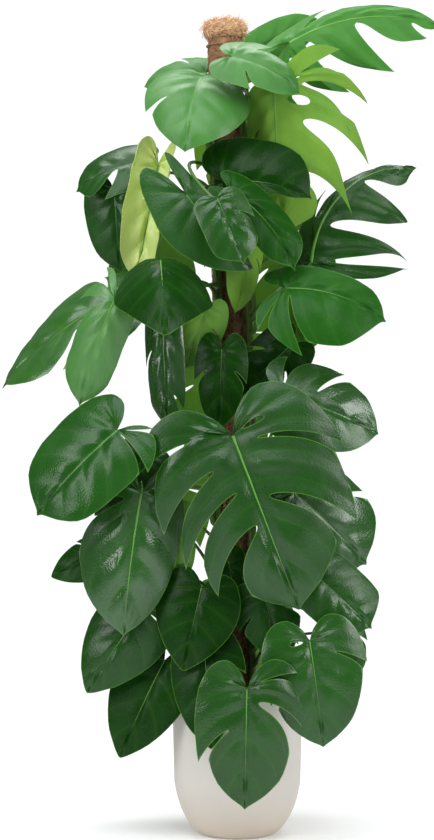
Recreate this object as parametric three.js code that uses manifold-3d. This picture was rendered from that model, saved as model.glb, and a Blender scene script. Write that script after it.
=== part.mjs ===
// A potted swiss cheese plant tied to a coir pole. Millimetres, +Z up, -Y is the front.
// The origin is the centre of the pot's underside.
import * as THREE from 'three';
import { mergeVertices } from 'three/addons/utils/BufferGeometryUtils.js';
import Module from 'manifold-3d';

const wasm = await Module();
wasm.setup();

// Driving dimensions
const GAP = 0.4;                    // air between pieces that stand close
const POT_RADIUS = 125;             // outside, at the rim
const POT_TAPER = 4;                // how much narrower the wall is at the bottom round
const POT_HEIGHT = 268;
const POT_FOOT_RADIUS = 66;         // the flat base
const POT_WALL = 5;
const SOIL_TOP = 236;
const POLE_BASE = [4, 0];           // where the pole's axis meets the ground plane
const POLE_LEAN = 1.04;             // degrees towards -X
const STAKE_RADIUS = 11;
const STAKE_BOTTOM = 18;
const COIR_RADIUS = 34;
const COIR_BOTTOM = 60;
const COIR_TOP = 1522;
const ROLL_RADIUS = 38;
const ROLL_HEIGHT = 30;
const BINDING_DROP = 14;            // the binding's place below the top of the wrap
const TIE_RADIUS = 1.6;
const TIE_SLACK = 2;                // between a tie and what it holds
const TIE_HEIGHTS = { low: 455, middle: 845, high: 1232 };
const STEM_RADIUS = 8;
const BLADE_THICKNESS = 1.6;
const PETIOLE_RADIUS = 3.2;
const PETIOLE_INSET = 7;            // how far past the notch the petiole meets the midrib

// Facets
const POT_SIDES = 24;
const COIR_SIDES = 20;
const STAKE_SIDES = 16;
const STEM_SIDES = 8;
const PETIOLE_SIDES = 5;
const PETIOLE_STEPS = 5;

const WHITE = { color: 0xd6d2cd, roughness: 0.6, metalness: 0 };
const SOIL = { color: 0x2e221a, roughness: 0.95, metalness: 0 };
const COIR = { color: 0x6b4a30, roughness: 0.95, metalness: 0 };
const WOOD = { color: 0x8a6a48, roughness: 0.8, metalness: 0 };
const TWINE = { color: 0x8c7a55, roughness: 0.9, metalness: 0 };
const STEM = { color: 0x4c5a2a, roughness: 0.6, metalness: 0 };
const LIGHT_LEAF = { color: 0x6fae68, roughness: 0.35, metalness: 0 };
const DARK_LEAF = { color: 0x2c5a30, roughness: 0.35, metalness: 0 };
const LIME_LEAF = { color: 0xa5c83c, roughness: 0.4, metalness: 0 };

const rad = THREE.MathUtils.degToRad;
const vec = (x, y, z) => new THREE.Vector3(x, y, z);

// Solids

function solidOf(geometry) {
  const bare = new THREE.BufferGeometry();
  bare.setAttribute('position', geometry.getAttribute('position'));
  if (geometry.index) bare.setIndex(geometry.index);
  const merged = mergeVertices(bare, 1e-4);
  return new wasm.Manifold(new wasm.Mesh({
    numProp: 3,
    vertProperties: new Float32Array(merged.getAttribute('position').array),
    triVerts: new Uint32Array(merged.index.array),
  }));
}

function geometryOf(solid) {
  const mesh = solid.getMesh();
  const geometry = new THREE.BufferGeometry();
  geometry.setAttribute('position', new THREE.BufferAttribute(new Float32Array(mesh.vertProperties), 3));
  geometry.setIndex(Array.from(mesh.triVerts));
  return geometry;
}

function indexed(points, faces) {
  const geometry = new THREE.BufferGeometry();
  const values = points.flatMap((p) => p.toArray());
  geometry.setAttribute('position', new THREE.Float32BufferAttribute(values, 3));
  geometry.setIndex(faces.flat());
  return geometry;
}

// A profile of [radius, height] turned about +Z
const turned = (profile, sides) => new THREE.LatheGeometry(
  profile.map((p) => (p.isVector2 ? p : new THREE.Vector2(...p))), sides).rotateX(Math.PI / 2);

function mesh(name, geometry, look) {
  geometry.computeVertexNormals();
  const made = new THREE.Mesh(geometry, new THREE.MeshStandardMaterial(look));
  made.name = name;
  return made;
}

// A round bar along points, with a radius at each; closed is a ring
function bar(points, radii, sides, closed = false) {
  const count = points.length;
  const corners = [];
  const faces = [];
  let across = null;
  points.forEach((p, i) => {
    const before = points[closed ? (i - 1 + count) % count : Math.max(i - 1, 0)];
    const after = points[closed ? (i + 1) % count : Math.min(i + 1, count - 1)];
    const along = after.clone().sub(before).normalize();
    across ??= Math.abs(along.y) < 0.9 ? vec(0, 1, 0) : vec(1, 0, 0);
    across.addScaledVector(along, -across.dot(along)).normalize();
    const other = along.clone().cross(across);
    for (let k = 0; k < sides; k++) {
      const turn = 2 * Math.PI * k / sides;
      corners.push(p.clone().addScaledVector(across, radii[i] * Math.cos(turn))
        .addScaledVector(other, radii[i] * Math.sin(turn)));
    }
  });
  const rings = closed ? count : count - 1;
  for (let i = 0; i < rings; i++) {
    for (let k = 0; k < sides; k++) {
      const [a, b] = [i * sides + k, i * sides + (k + 1) % sides];
      const [c, d] = [a, b].map((v) => (v + sides) % (count * sides));
      faces.push([a, b, d], [a, d, c]);
    }
  }
  if (!closed) {
    for (let k = 1; k < sides - 1; k++) {
      faces.push([0, k + 1, k]);
      const end = (count - 1) * sides;
      faces.push([end, end + k, end + k + 1]);
    }
  }
  return indexed(corners, faces);
}

// Leaf blade, flat

// One half of the outline from the notch to the tip: share of the half width, share of the
// length, and how far along the midrib the vein that ends there starts
const OUTLINE = new THREE.CatmullRomCurve3([
  [0.00, 0.00, 0.00], [0.13, -0.12, 0.00], [0.38, -0.21, 0.00], [0.68, -0.18, 0.00],
  [0.90, -0.04, 0.00], [1.00, 0.15, 0.03], [0.97, 0.36, 0.14], [0.83, 0.57, 0.30],
  [0.60, 0.76, 0.49], [0.30, 0.90, 0.70], [0.08, 0.975, 0.88], [0.00, 1.00, 1.00],
].map((p) => vec(...p)), false, 'catmullrom', 0.5);
// What a fully broad leaf adds to it
const BROADER = new THREE.CatmullRomCurve3([
  [0.00, 0.00, 0.00], [0.00, 0.00, 0.00], [0.00, 0.00, 0.00], [0.02, 0.00, 0.00],
  [0.03, 0.00, 0.00], [0.00, 0.00, 0.00], [0.02, 0.02, 0.00], [0.13, 0.03, 0.00],
  [0.24, 0.02, 0.00], [0.20, -0.01, 0.00], [0.03, -0.01, 0.00], [0.00, 0.02, 0.02],
].map((p) => vec(...p)), false, 'catmullrom', 0.5);
const FIRST_RISING_VEIN = 4 / 11;    // the veins before it all start at the petiole
const MARK_STEP = 0.25;             // the widest strip between two veins
const BASAL_MARK = 0.16;            // a vein through the basal lobe
const BOW_TURN = 0.26;              // the veins before it bow away from the notch
const BOW_EASE = 0.1;
const CLOSED_ROW = 0.35;            // up to here no vein is cut
const LOBE_BACK = 0.05;             // how much a lobe's basal corner draws in

// Point on the vein s, at the share t of its length
function veinPoint(leaf, s, t, share) {
  const end = OUTLINE.getPoint(s).addScaledVector(BROADER.getPoint(s), leaf.broad ?? USUAL.broad);
  const endX = end.x * leaf.width / 2 * share;
  const endY = end.y * leaf.length * (end.y < 0 ? leaf.heel ?? 1 : 1);
  const rootY = s <= FIRST_RISING_VEIN ? 0 : Math.max(end.z, 0) * leaf.length;
  const bow = (leaf.bow ?? USUAL.bow) * THREE.MathUtils.clamp((s - BOW_TURN) / BOW_EASE, -0.5, 1);
  const bendX = 0.5 * endX + bow * (endY - rootY);
  const bendY = 0.5 * (endY + rootY) - bow * endX;
  const middle = 2 * t * (1 - t);
  return [middle * bendX + t * t * endX, (1 - t) ** 2 * rootY + middle * bendY + t * t * endY];
}

// How far the two edges of the cuts on a vein stand from it, at t. A cut is [vein, start, width],
// open at the margin, and a hole is [vein, start, width, end]
function cutEdges(cuts, t) {
  let [back, front] = [0, 0];
  for (const [, start, width, end] of cuts) {
    if (end !== undefined) {
      const u = THREE.MathUtils.clamp((t - start) / (end - start), 0, 1);
      back -= 0.5 * width * Math.sqrt(4 * u * (1 - u));
      front += 0.5 * width * Math.sqrt(4 * u * (1 - u));
    } else {
      const u = THREE.MathUtils.clamp((t - start) / (1 - start), 0, 1);
      back -= 0.45 * width * Math.sqrt(u) * (1 - 0.75 * u);
      front += width * (0.55 * Math.sqrt(u) * (1 - 0.3 * u) + 0.7 * u ** 3);
    }
  }
  return [back, front];
}

const opening = (cuts, t) => Math.max(0, ...cuts.filter((c) => c.length === 3)
  .map(([, start]) => THREE.MathUtils.clamp((t - start) / (1 - start), 0, 1)));

// The veins that bound the strips: every cut, and more where two stand far apart
function veinMarks(leaf) {
  const cuts = [...leaf.left, ...leaf.right].map((c) => c[0]);
  const marks = [...new Set([0, BASAL_MARK, ...cuts, 1])].sort((a, b) => a - b);
  return marks.flatMap((s, i) => {
    if (i === 0) return [s];
    const parts = Math.ceil((s - marks[i - 1]) / MARK_STEP);
    return Array.from({ length: parts }, (_, k) => (
      k + 1 === parts ? s : marks[i - 1] + (s - marks[i - 1]) * (k + 1) / parts));
  });
}

// Flat blade as corners [x, y] and triangles. Each half is a fan of strips between two veins;
// from one cut to the next they share a lobe, which narrows towards the margin
function flatBlade(leaf) {
  const first = Math.min(CLOSED_ROW, ...[...leaf.left, ...leaf.right].map((c) => c[1]));
  const rows = leaf.rows ?? [0, first, (1 + first) / 2, 1];
  const veins = veinMarks(leaf);
  const corners = [];
  const known = new Map();
  const corner = (x, y) => {
    const key = `${Math.round(x * 50)},${Math.round(y * 50)}`;
    if (!known.has(key)) {
      known.set(key, corners.length);
      corners.push([x, y]);
    }
    return known.get(key);
  };
  const faces = [];
  const reach = leaf.point ?? USUAL.point;    // how far a lobe's front corner reaches out
  const halves = [[1, leaf.right, leaf.rightShare ?? 1], [-1, leaf.left, leaf.leftShare ?? 1]];
  for (const [side, cuts, share] of halves) {
    const bounds = [0, ...cuts.map((c) => c[0]), 1];
    for (let i = 0; i < veins.length - 1; i++) {
      const from = Math.max(...bounds.filter((s) => s <= veins[i]));
      const to = Math.min(...bounds.filter((s) => s >= veins[i + 1]));
      const behind = cuts.filter((c) => c[0] === from);
      const ahead = cuts.filter((c) => c[0] === to);
      const edge = rows.map((t) => {
        const low = from + cutEdges(behind, t)[1];
        const high = to + cutEdges(ahead, t)[0];
        const back = 1 - LOBE_BACK * opening(behind, t) ** 2;
        const front = 1 + reach * opening(ahead, t) ** 2;
        return [veins[i], veins[i + 1]].map((s) => {
          const place = (s - from) / (to - from);
          const along = t * (back + (front - back) * place);
          const [x, y] = veinPoint(leaf, low + (high - low) * place, along, share);
          return corner(side * x, y);
        });
      });
      for (let k = 0; k < rows.length - 1; k++) {
        const [a, b] = edge[k];
        const [d, c] = edge[k + 1];
        for (const face of [[a, b, c], [a, c, d]]) {
          if (new Set(face).size === 3) faces.push(side > 0 ? face : face.reverse());
        }
      }
    }
  }
  return { corners, faces };
}

// Leaf blade, bent

function leafFrame(leaf) {
  const [aim, lean, turn, tilt] = [leaf.aim, leaf.lean, leaf.turn, leaf.tilt].map((v) => rad(v ?? 0));
  const along = vec(Math.sin(aim) * Math.cos(lean), -Math.sin(lean), -Math.cos(aim) * Math.cos(lean));
  const face = vec(Math.sin(turn) * Math.cos(tilt), -Math.cos(turn) * Math.cos(tilt), Math.sin(tilt));
  face.addScaledVector(along, -face.dot(along)).normalize();
  return { along, face, across: face.clone().cross(along) };
}

const USUAL = {
  broad: 0.35, bow: 0.1, point: 0.07, droop: 25, fold: 8, curl: 30, path: [0.12, 0.4, 0.3],
};

// The midrib bends away from the face by droop and sideways by sweep, in one arc, and each
// half stands up by its fold and then curls down
function bent(leaf, x, y) {
  const { along, face, across } = leafFrame(leaf);
  const droop = rad(leaf.droop ?? USUAL.droop);
  const sweep = rad(leaf.sweep ?? 0);
  const whole = Math.hypot(droop, sweep) || 1e-3;
  const inward = face.clone().multiplyScalar(-droop).addScaledVector(across, sweep).normalize();
  const rate = whole / leaf.length;
  const angle = rate * Math.max(y, 0);
  const axis = along.clone().cross(inward);
  const middle = vec(...leaf.at).addScaledVector(along, Math.sin(angle) / rate + Math.min(y, 0))
    .addScaledVector(inward, (1 - Math.cos(angle)) / rate);
  const up = face.clone().applyAxisAngle(axis, angle);
  const out = across.clone().applyAxisAngle(axis, angle);
  const twist = rad(leaf.twist ?? 0) * Math.max(y, 0) / leaf.length;
  const rib = along.clone().applyAxisAngle(axis, angle);
  up.applyAxisAngle(rib, twist);
  out.applyAxisAngle(rib, twist);
  const fold = rad((x < 0 ? leaf.foldLeft : leaf.foldRight) ?? USUAL.fold);
  const curl = rad((x < 0 ? leaf.curlLeft : leaf.curlRight) ?? USUAL.curl) || 1e-3;
  const half = leaf.width / 2;
  const slope = curl * Math.abs(x) / half - fold;
  const reach = half / curl * (Math.sin(slope) + Math.sin(fold));
  const rise = half / curl * (Math.cos(slope) - Math.cos(fold));
  return middle.addScaledVector(out, Math.sign(x) * reach).addScaledVector(up, rise);
}

function bladeSolid(leaf) {
  const { corners, faces } = flatBlade(leaf);
  const step = 0.5;
  const upper = [];
  const lower = [];
  for (const [x, y] of corners) {
    const p = bent(leaf, x, y);
    const dx = bent(leaf, x + step, y).sub(bent(leaf, x - step, y));
    const dy = bent(leaf, x, y + step).sub(bent(leaf, x, y - step));
    const normal = dy.cross(dx).normalize();
    upper.push(p.clone().addScaledVector(normal, BLADE_THICKNESS / 2));
    lower.push(p.clone().addScaledVector(normal, -BLADE_THICKNESS / 2));
  }
  const count = corners.length;
  const edges = new Set();
  for (const f of faces) f.forEach((v, i) => edges.add(`${v},${f[(i + 1) % 3]}`));
  const rim = [];
  for (const e of edges) {
    const [p, q] = e.split(',').map(Number);
    if (!edges.has(`${q},${p}`)) rim.push([q, p, p + count], [q, p + count, q + count]);
  }
  const back = faces.map(([a, b, c]) => [a + count, c + count, b + count]);
  return indexed([...upper, ...lower], [...faces, ...back, ...rim]);
}

// Pole, stems and what carries the leaves

const poleAxis = (height) => vec(POLE_BASE[0] - Math.tan(rad(POLE_LEAN)) * height, POLE_BASE[1], height);

// A stem climbs beside the pole at its own bearing, seen from above, and wanders a little
const STEMS = {
  left: { bearing: 232, top: 1440, wander: 9, phase: 0.4 },
  right: { bearing: 322, top: 1400, wander: 8, phase: 2.1 },
  back: { bearing: 98, top: 1330, wander: 10, phase: 4.0 },
};
const STEM_BOTTOM = 120;
const STEM_STEP = 80;
const STEM_STAND_OFF = COIR_RADIUS + STEM_RADIUS + 1.5;
const STEM_WAVE = 140;              // height over which a stem wanders by one radian
const TAPER_START = 700;            // above it a stem thins
const TAPER = 0.35;

function stemBearing(stem, height) {
  return rad(stem.bearing + stem.wander * Math.sin(height / STEM_WAVE + stem.phase));
}

function stemPoint(stem, height, further = 0) {
  const turn = stemBearing(stem, height);
  const outward = vec(Math.cos(turn), Math.sin(turn), 0);
  return poleAxis(height).addScaledVector(outward, STEM_STAND_OFF + further);
}

const stemRadius = (stem, height) => STEM_RADIUS
  * (1 - TAPER * Math.max(0, height - TAPER_START) / (stem.top - TAPER_START));

function stemBar(stem, top, extra = 0, bottom = STEM_BOTTOM) {
  const heights = [bottom];
  for (let h = STEM_BOTTOM + STEM_STEP; h < top - 1; h += STEM_STEP) heights.push(h);
  heights.push(top);
  const radii = heights.map((h) => stemRadius(stem, h) + extra);
  return bar(heights.map((h) => stemPoint(stem, h)), radii, STEM_SIDES);
}

// The petiole leaves its stem outwards and upwards and reaches the blade from behind
function petiole(leaf) {
  const [stemName, height] = leaf.foot;
  const stem = STEMS[stemName];
  const foot = stemPoint(stem, height, stemRadius(stem, height) + PETIOLE_RADIUS + 1);
  const radial = vec(Math.cos(stemBearing(stem, height)), Math.sin(stemBearing(stem, height)), 0);
  const { along, face } = leafFrame(leaf);
  const end = vec(...leaf.at).addScaledVector(along, PETIOLE_INSET);
  const span = end.distanceTo(foot);
  const [outward, upward, behind] = leaf.path ?? USUAL.path;
  const curve = new THREE.CubicBezierCurve3(
    foot,
    foot.clone().addScaledVector(radial, span * outward).add(vec(0, 0, span * upward)),
    end.clone().addScaledVector(face, -span * behind).add(vec(0, 0, -0.05 * span)),
    end,
  );
  const radii = Array.from({ length: PETIOLE_STEPS + 1 },
    (_, i) => PETIOLE_RADIUS * (1.15 - 0.4 * i / PETIOLE_STEPS));
  return bar(curve.getPoints(PETIOLE_STEPS), radii, PETIOLE_SIDES);
}

function leafGeometry(leaf) {
  return geometryOf(solidOf(bladeSolid(leaf)).add(solidOf(petiole(leaf))));
}

const HOLE_ROWS = [0, 0.14, 0.27, 0.40, 0.7, 1];
const FINGER_ROWS = [0, 0.1, 0.3, 0.55, 0.8, 1];

// Cuts at even steps along the half outline
const even = (count, start, width, from = 0.36, to = 0.76) => Array.from({ length: count }, (_, i) => {
  const share = count > 1 ? i / (count - 1) : 0.5;
  return [Number((from + (to - from) * share).toFixed(3)), start, width];
});

// A row of holes beside the midrib, at even steps
const pierced = (count, width, from = 0.44, to = 0.7) => even(count, 0.14, width, from, to)
  .map((cut) => [...cut, 0.4]);

// One entry a leaf. at is where the petiole meets the blade. aim is degrees from straight down,
// + towards +X; lean brings the tip to the front; turn and tilt say where the face looks
const LEAVES = [
  { name: 'leaf_top_right', look: LIGHT_LEAF, at: [100, -5, 1515], length: 300, width: 150,
    aim: 122, lean: 0, turn: 10, tilt: 58, droop: 30, sweep: -50, foldLeft: -30, curlLeft: 20,
    leftShare: 1.6, rightShare: 0.55, point: 0.2, rows: FINGER_ROWS,
    left: [[0.3, 0.15, 0.08], [0.5, 0.1, 0.11], [0.7, 0.1, 0.11], [0.86, 0.3, 0.05]],
    right: [[0.5, 0.3, 0.05]], foot: ['right', 1335] },
  { name: 'leaf_top_back_right', look: LIGHT_LEAF, at: [25, 80, 1502], length: 168, width: 90,
    aim: 124, lean: -8, turn: 10, tilt: 15, droop: 20, left: [[0.8, 0.12, 0.07]], right: [],
    foot: ['back', 1320] },
  { name: 'leaf_top_dome', look: LIGHT_LEAF, at: [-12, -126, 1466], length: 150, width: 128,
    aim: 82, lean: 20, turn: 5, tilt: 42, droop: 60, left: even(1, 0.5, 0.03),
    right: even(1, 0.5, 0.03), foot: ['right', 1395], path: [0.0, 0.9, 0.2] },
  { name: 'leaf_top_left', look: LIGHT_LEAF, at: [-68, -88, 1436], length: 182, width: 218,
    aim: -24, lean: 56, turn: -5, tilt: 58, droop: 60, foldRight: 4, curlRight: 55,
    leftShare: 0.88, rightShare: 1.12, broad: 0.2, heel: 0.8, left: [[0.62, 0.55, 0.03]],
    right: [[0.36, 0.3, 0.06]], foot: ['left', 1300] },
  { name: 'leaf_top_back_left', look: LIGHT_LEAF, at: [-62, 45, 1465], length: 130, width: 105,
    aim: -95, lean: 0, turn: -20, tilt: 40, droop: 45, left: even(1, 0.5, 0.04),
    right: even(1, 0.5, 0.04), foot: ['back', 1270] },
  { name: 'leaf_high_left', look: DARK_LEAF, at: [-178, 0, 1287], length: 150, width: 120,
    aim: -84, lean: 8, turn: -15, tilt: 38, droop: 50, broad: 0.9, left: [],
    right: [[0.66, 0.1, 0.12]], foot: ['left', 1160] },
  { name: 'leaf_high_middle_left', look: DARK_LEAF, at: [-96, -150, 1208], length: 188, width: 158,
    aim: 36, lean: 2, turn: -6, tilt: 18, droop: 14, sweep: 14, curlLeft: 8, leftShare: 1.05,
    rightShare: 0.4, broad: -0.2, heel: 2.1, left: [], right: [[0.5, 0.3, 0.05]],
    foot: ['left', 1060] },
  { name: 'leaf_high_middle', look: DARK_LEAF, at: [-38, -188, 1196], length: 128, width: 100,
    aim: 24, lean: 14, turn: 5, tilt: 10, droop: 25, broad: 1.1, heel: 0.5, left: [],
    right: even(1, 0.55, 0.03), foot: ['left', 1272], path: [0.9, 0.15, 0.0] },
  { name: 'leaf_high_middle_dark', look: DARK_LEAF, at: [-28, -112, 1236], length: 172, width: 184,
    aim: 96, lean: 6, turn: 10, tilt: 15, droop: 30, sweep: -26, leftShare: 0.22, rightShare: 1,
    broad: 0.8, left: [], right: [], foot: ['right', 1195] },
  { name: 'leaf_high_middle_low', look: DARK_LEAF, at: [-10, -139, 1214], length: 188, width: 92,
    aim: 56, lean: 8, turn: 10, tilt: 20, droop: 20, sweep: -30, broad: 1, left: [], right: [],
    foot: ['right', 1140], path: [0.1, 0.3, 0.3] },
  { name: 'leaf_high_strip', look: LIGHT_LEAF, at: [18, -66, 1140], length: 150, width: 100,
    aim: -2, lean: 10, turn: 45, tilt: 10, droop: 20, left: even(1, 0.5, 0.03),
    right: even(1, 0.5, 0.03), foot: ['right', 1000] },
  { name: 'leaf_high_right', look: LIGHT_LEAF, at: [67, -88, 1414], length: 285, width: 315,
    aim: 3, lean: -4, turn: -2, tilt: 10, droop: 25, foldLeft: -25, foldRight: 0, leftShare: 0.35,
    broad: 0.8, bow: 0.2, point: 0.28, rows: HOLE_ROWS, left: even(3, 0.5, 0.03),
    right: [
      [0.27, 0.5, 0.07], [0.42, 0.34, 0.12], [0.58, 0.3, 0.12], [0.74, 0.3, 0.08],
      [0.34, 0.14, 0.04, 0.4], [0.5, 0.14, 0.04, 0.4]],
    foot: ['right', 1270] },
  { name: 'leaf_right_arching', look: DARK_LEAF, at: [142, 18, 1094], length: 325, width: 276,
    aim: 176, lean: 4, turn: 5, tilt: 15, droop: 28, sweep: -88, foldLeft: 0, foldRight: -60,
    curlLeft: 6, leftShare: 1.1, rightShare: 0.4, bow: 0.03, point: 0.35, heel: 0.3,
    rows: FINGER_ROWS, left: [[0.42, 0.25, 0.1], [0.6, 0.12, 0.1], [0.78, 0.1, 0.08]],
    right: even(1, 0.5, 0.04), foot: ['right', 960] },
  { name: 'leaf_right_slit', look: DARK_LEAF, at: [88, -132, 1036], length: 200, width: 178,
    aim: 92, lean: 12, turn: 15, tilt: 32, droop: 40, sweep: -22, leftShare: 1.3, rightShare: 0.6,
    broad: 0.8, bow: 0.18, point: 0.2, left: [[0.26, 0.2, 0.04], [0.48, 0.16, 0.05]], right: [],
    foot: ['right', 985] },
  { name: 'leaf_behind_centre', look: DARK_LEAF, at: [100, -62, 932], length: 150, width: 110,
    aim: -48, lean: 8, turn: 10, tilt: 20, droop: 25, broad: 0.8, left: even(1, 0.5, 0.04),
    right: even(1, 0.5, 0.04), foot: ['right', 800] },
  { name: 'leaf_inner_middle', look: DARK_LEAF, at: [-30, -114, 922], length: 150, width: 100,
    aim: -3, lean: 6, turn: -5, tilt: 10, droop: 20, left: even(1, 0.5, 0.03),
    right: even(1, 0.5, 0.03), foot: ['left', 790] },
  { name: 'leaf_centre', look: DARK_LEAF, at: [-10, -202, 762], length: 342, width: 352,
    aim: 21, lean: 8, turn: -4, tilt: 12, droop: 22, broad: 0.25, bow: 0.17, point: 0.13,
    rows: HOLE_ROWS,
    left: [[0.38, 0.5, 0.03], [0.53, 0.3, 0.045], [0.62, 0.18, 0.035], [0.72, 0.12, 0.07]],
    right: [[0.48, 0.22, 0.035], [0.38, 0.14, 0.045, 0.4], [0.66, 0.14, 0.06]],
    foot: ['left', 598] },
  { name: 'leaf_centre_right', look: DARK_LEAF, at: [85, -112, 838], length: 200, width: 172,
    aim: 74, lean: 4, turn: 10, tilt: 20, droop: 32, left: [],
    right: [[0.36, 0.12, 0.1], [0.6, 0.3, 0.04]], foot: ['right', 690] },
  { name: 'leaf_low_right_dark', look: DARK_LEAF, at: [105, -120, 655], length: 200, width: 200,
    aim: 50, lean: 0, turn: 10, tilt: 15, droop: 30, broad: 1, left: [],
    right: [[0.34, 0.25, 0.08], [0.6, 0.4, 0.04]], foot: ['right', 520] },
  { name: 'leaf_low_right', look: DARK_LEAF, at: [148, -148, 500], length: 138, width: 132,
    aim: 50, lean: 6, turn: 10, tilt: 15, droop: 25, broad: 1.3, left: [], right: [],
    foot: ['right', 500] },
  { name: 'leaf_low_right_strip', look: DARK_LEAF, at: [200, -60, 405], length: 105, width: 75,
    aim: 18, lean: 10, turn: 15, tilt: 10, droop: 25, left: [], right: even(1, 0.5, 0.04),
    foot: ['right', 330] },
  { name: 'leaf_bottom_right', look: DARK_LEAF, at: [130, -198, 388], length: 198, width: 190,
    aim: 9, lean: 12, turn: 5, tilt: 10, droop: 28, broad: 0.2, rows: HOLE_ROWS,
    left: [[0.42, 0.14, 0.045, 0.4], [0.62, 0.5, 0.03]], right: [[0.5, 0.45, 0.03]],
    foot: ['right', 300], path: [0.45, 0.0, 0.25] },
  { name: 'leaf_low_middle', look: DARK_LEAF, at: [47, -105, 466], length: 138, width: 130,
    aim: 18, lean: 8, turn: 0, tilt: 10, droop: 25, broad: -0.2, left: even(1, 0.5, 0.03),
    right: even(1, 0.5, 0.03), foot: ['right', 360] },
  { name: 'leaf_over_pot', look: DARK_LEAF, at: [15, -230, 305], length: 222, width: 196,
    aim: -1, lean: 5, turn: 0, tilt: 10, droop: 18, leftShare: 0.86, broad: 0.35, bow: 0.17,
    point: 0.18, rows: HOLE_ROWS, left: [[0.62, 0.35, 0.03]],
    right: [[0.32, 0.35, 0.035], [0.52, 0.2, 0.1]], foot: ['right', 262], path: [0.5, 0.1, 0.25] },
  { name: 'leaf_over_pot_left', look: DARK_LEAF, at: [-62, -108, 360], length: 183, width: 140,
    aim: 3, lean: 12, turn: -10, tilt: 10, droop: 10, broad: -0.1, left: [],
    right: [[0.5, 0.35, 0.04]], foot: ['left', 300] },
  { name: 'leaf_low_centre_left', look: DARK_LEAF, at: [-68, -125, 478], length: 160, width: 162,
    aim: -14, lean: 10, turn: -5, tilt: 10, droop: 25, broad: -0.3, left: [], right: [],
    foot: ['left', 350] },
  { name: 'leaf_left_lower', look: DARK_LEAF, at: [-178, -165, 656], length: 268, width: 205,
    aim: -10, lean: 8, turn: -12, tilt: 10, droop: 24, foldRight: -25, leftShare: 1.28, broad: 0.2,
    point: 0.15, left: [[0.34, 0.3, 0.05], [0.47, 0.22, 0.12]], right: [[0.3, 0.5, 0.03]],
    foot: ['left', 632] },
  { name: 'leaf_far_left_dark', look: DARK_LEAF, at: [-250, -75, 540], length: 115, width: 95,
    aim: -72, lean: 6, turn: -15, tilt: 20, droop: 30, broad: -0.2, left: even(1, 0.6, 0.02),
    right: even(1, 0.5, 0.03), foot: ['left', 440] },
  { name: 'leaf_left_large', look: DARK_LEAF, at: [-222, -185, 772], length: 216, width: 196,
    aim: -50, lean: 10, turn: -8, tilt: 28, droop: 30, broad: 0.75, left: [],
    right: [[0.2, 0.25, 0.04], [0.41, 0.12, 0.03]], foot: ['left', 705] },
  { name: 'leaf_left_behind', look: DARK_LEAF, at: [-172, -88, 722], length: 150, width: 105,
    aim: -45, lean: 6, turn: -10, tilt: 15, droop: 25, left: even(1, 0.5, 0.03),
    right: even(1, 0.5, 0.03), foot: ['left', 674] },
  { name: 'leaf_far_left_curled', look: DARK_LEAF, at: [-244, -30, 1018], length: 270, width: 195,
    aim: -63, lean: 5, turn: -20, tilt: 38, droop: 34, twist: 30, broad: 0.7,
    left: [[0.36, 0.3, 0.07]], right: [[0.6, 0.3, 0.05]], foot: ['left', 962],
    path: [0.05, 0.15, 0.3] },
  { name: 'leaf_left_light', look: LIGHT_LEAF, at: [-228, -162, 1012], length: 212, width: 102,
    aim: -24, lean: 0, turn: -15, tilt: 15, droop: 28, foldRight: -26, leftShare: 1.25, broad: 0.9,
    point: 0.2, left: [[0.26, 0.14, 0.1], [0.44, 0.14, 0.12]], right: [], foot: ['left', 1020] },
  { name: 'leaf_heart', look: DARK_LEAF, at: [-142, -202, 1083], length: 178, width: 225,
    aim: 8, lean: 62, turn: 0, tilt: 55, droop: 58, foldLeft: -22, foldRight: -22, curlLeft: 34,
    curlRight: 34, rightShare: 1.12, broad: -0.3, left: [], right: [], foot: ['left', 1048],
    path: [0.12, 0.02, 0.42] },
  { name: 'leaf_beside_young', look: DARK_LEAF, at: [-238, 34, 1236], length: 160, width: 132,
    aim: 2, lean: 0, turn: -15, tilt: 10, droop: 20, broad: 0.2, left: [], right: [],
    foot: ['left', 1090] },
  { name: 'leaf_left_folded', look: DARK_LEAF, at: [-140, -105, 978], length: 205, width: 84,
    aim: 0, lean: 4, turn: -20, tilt: 10, droop: 18, broad: 0.8, left: even(1, 0.5, 0.03),
    right: even(2, 0.5, 0.03), foot: ['left', 830] },
  { name: 'leaf_inner_light', look: LIGHT_LEAF, at: [-60, -96, 1000], length: 120, width: 95,
    aim: -20, lean: 2, turn: 0, tilt: 20, droop: 25, left: [], right: even(1, 0.5, 0.03),
    foot: ['left', 930] },
  { name: 'leaf_low_left', look: DARK_LEAF, at: [-175, -112, 440], length: 196, width: 170,
    aim: -38, lean: 10, turn: -10, tilt: 15, droop: 28, foldRight: -15, broad: -0.2,
    left: [[0.38, 0.2, 0.09]], right: [[0.42, 0.2, 0.04]], foot: ['left', 400] },
  { name: 'leaf_bottom_left', look: DARK_LEAF, at: [-138, -78, 338], length: 205, width: 162,
    aim: -28, lean: 10, turn: -10, tilt: 15, droop: 25, broad: -0.2, left: [],
    right: [[0.5, 0.4, 0.03]], foot: ['left', 322] },
  { name: 'leaf_lower_light', look: LIGHT_LEAF, at: [-118, -110, 612], length: 130, width: 85,
    aim: 3, lean: 6, turn: 0, tilt: 10, droop: 22, left: even(1, 0.5, 0.03),
    right: even(1, 0.5, 0.04), foot: ['left', 480] },
  { name: 'leaf_lower_strip', look: DARK_LEAF, at: [-18, -78, 525], length: 130, width: 75,
    aim: 12, lean: 6, turn: 5, tilt: 10, droop: 20, left: [], right: even(1, 0.5, 0.03),
    foot: ['right', 430] },
  { name: 'young_leaf', look: LIME_LEAF, at: [-150, -56, 1274], length: 226, width: 130,
    aim: -12, lean: 2, turn: -10, tilt: 10, droop: 14, foldLeft: 15, foldRight: 15, curlLeft: -75,
    curlRight: -75, left: [], right: [], foot: ['left', 1215] },
  { name: 'leaf_back_top', look: LIGHT_LEAF, at: [20, 130, 1395], length: 230, width: 230,
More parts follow.
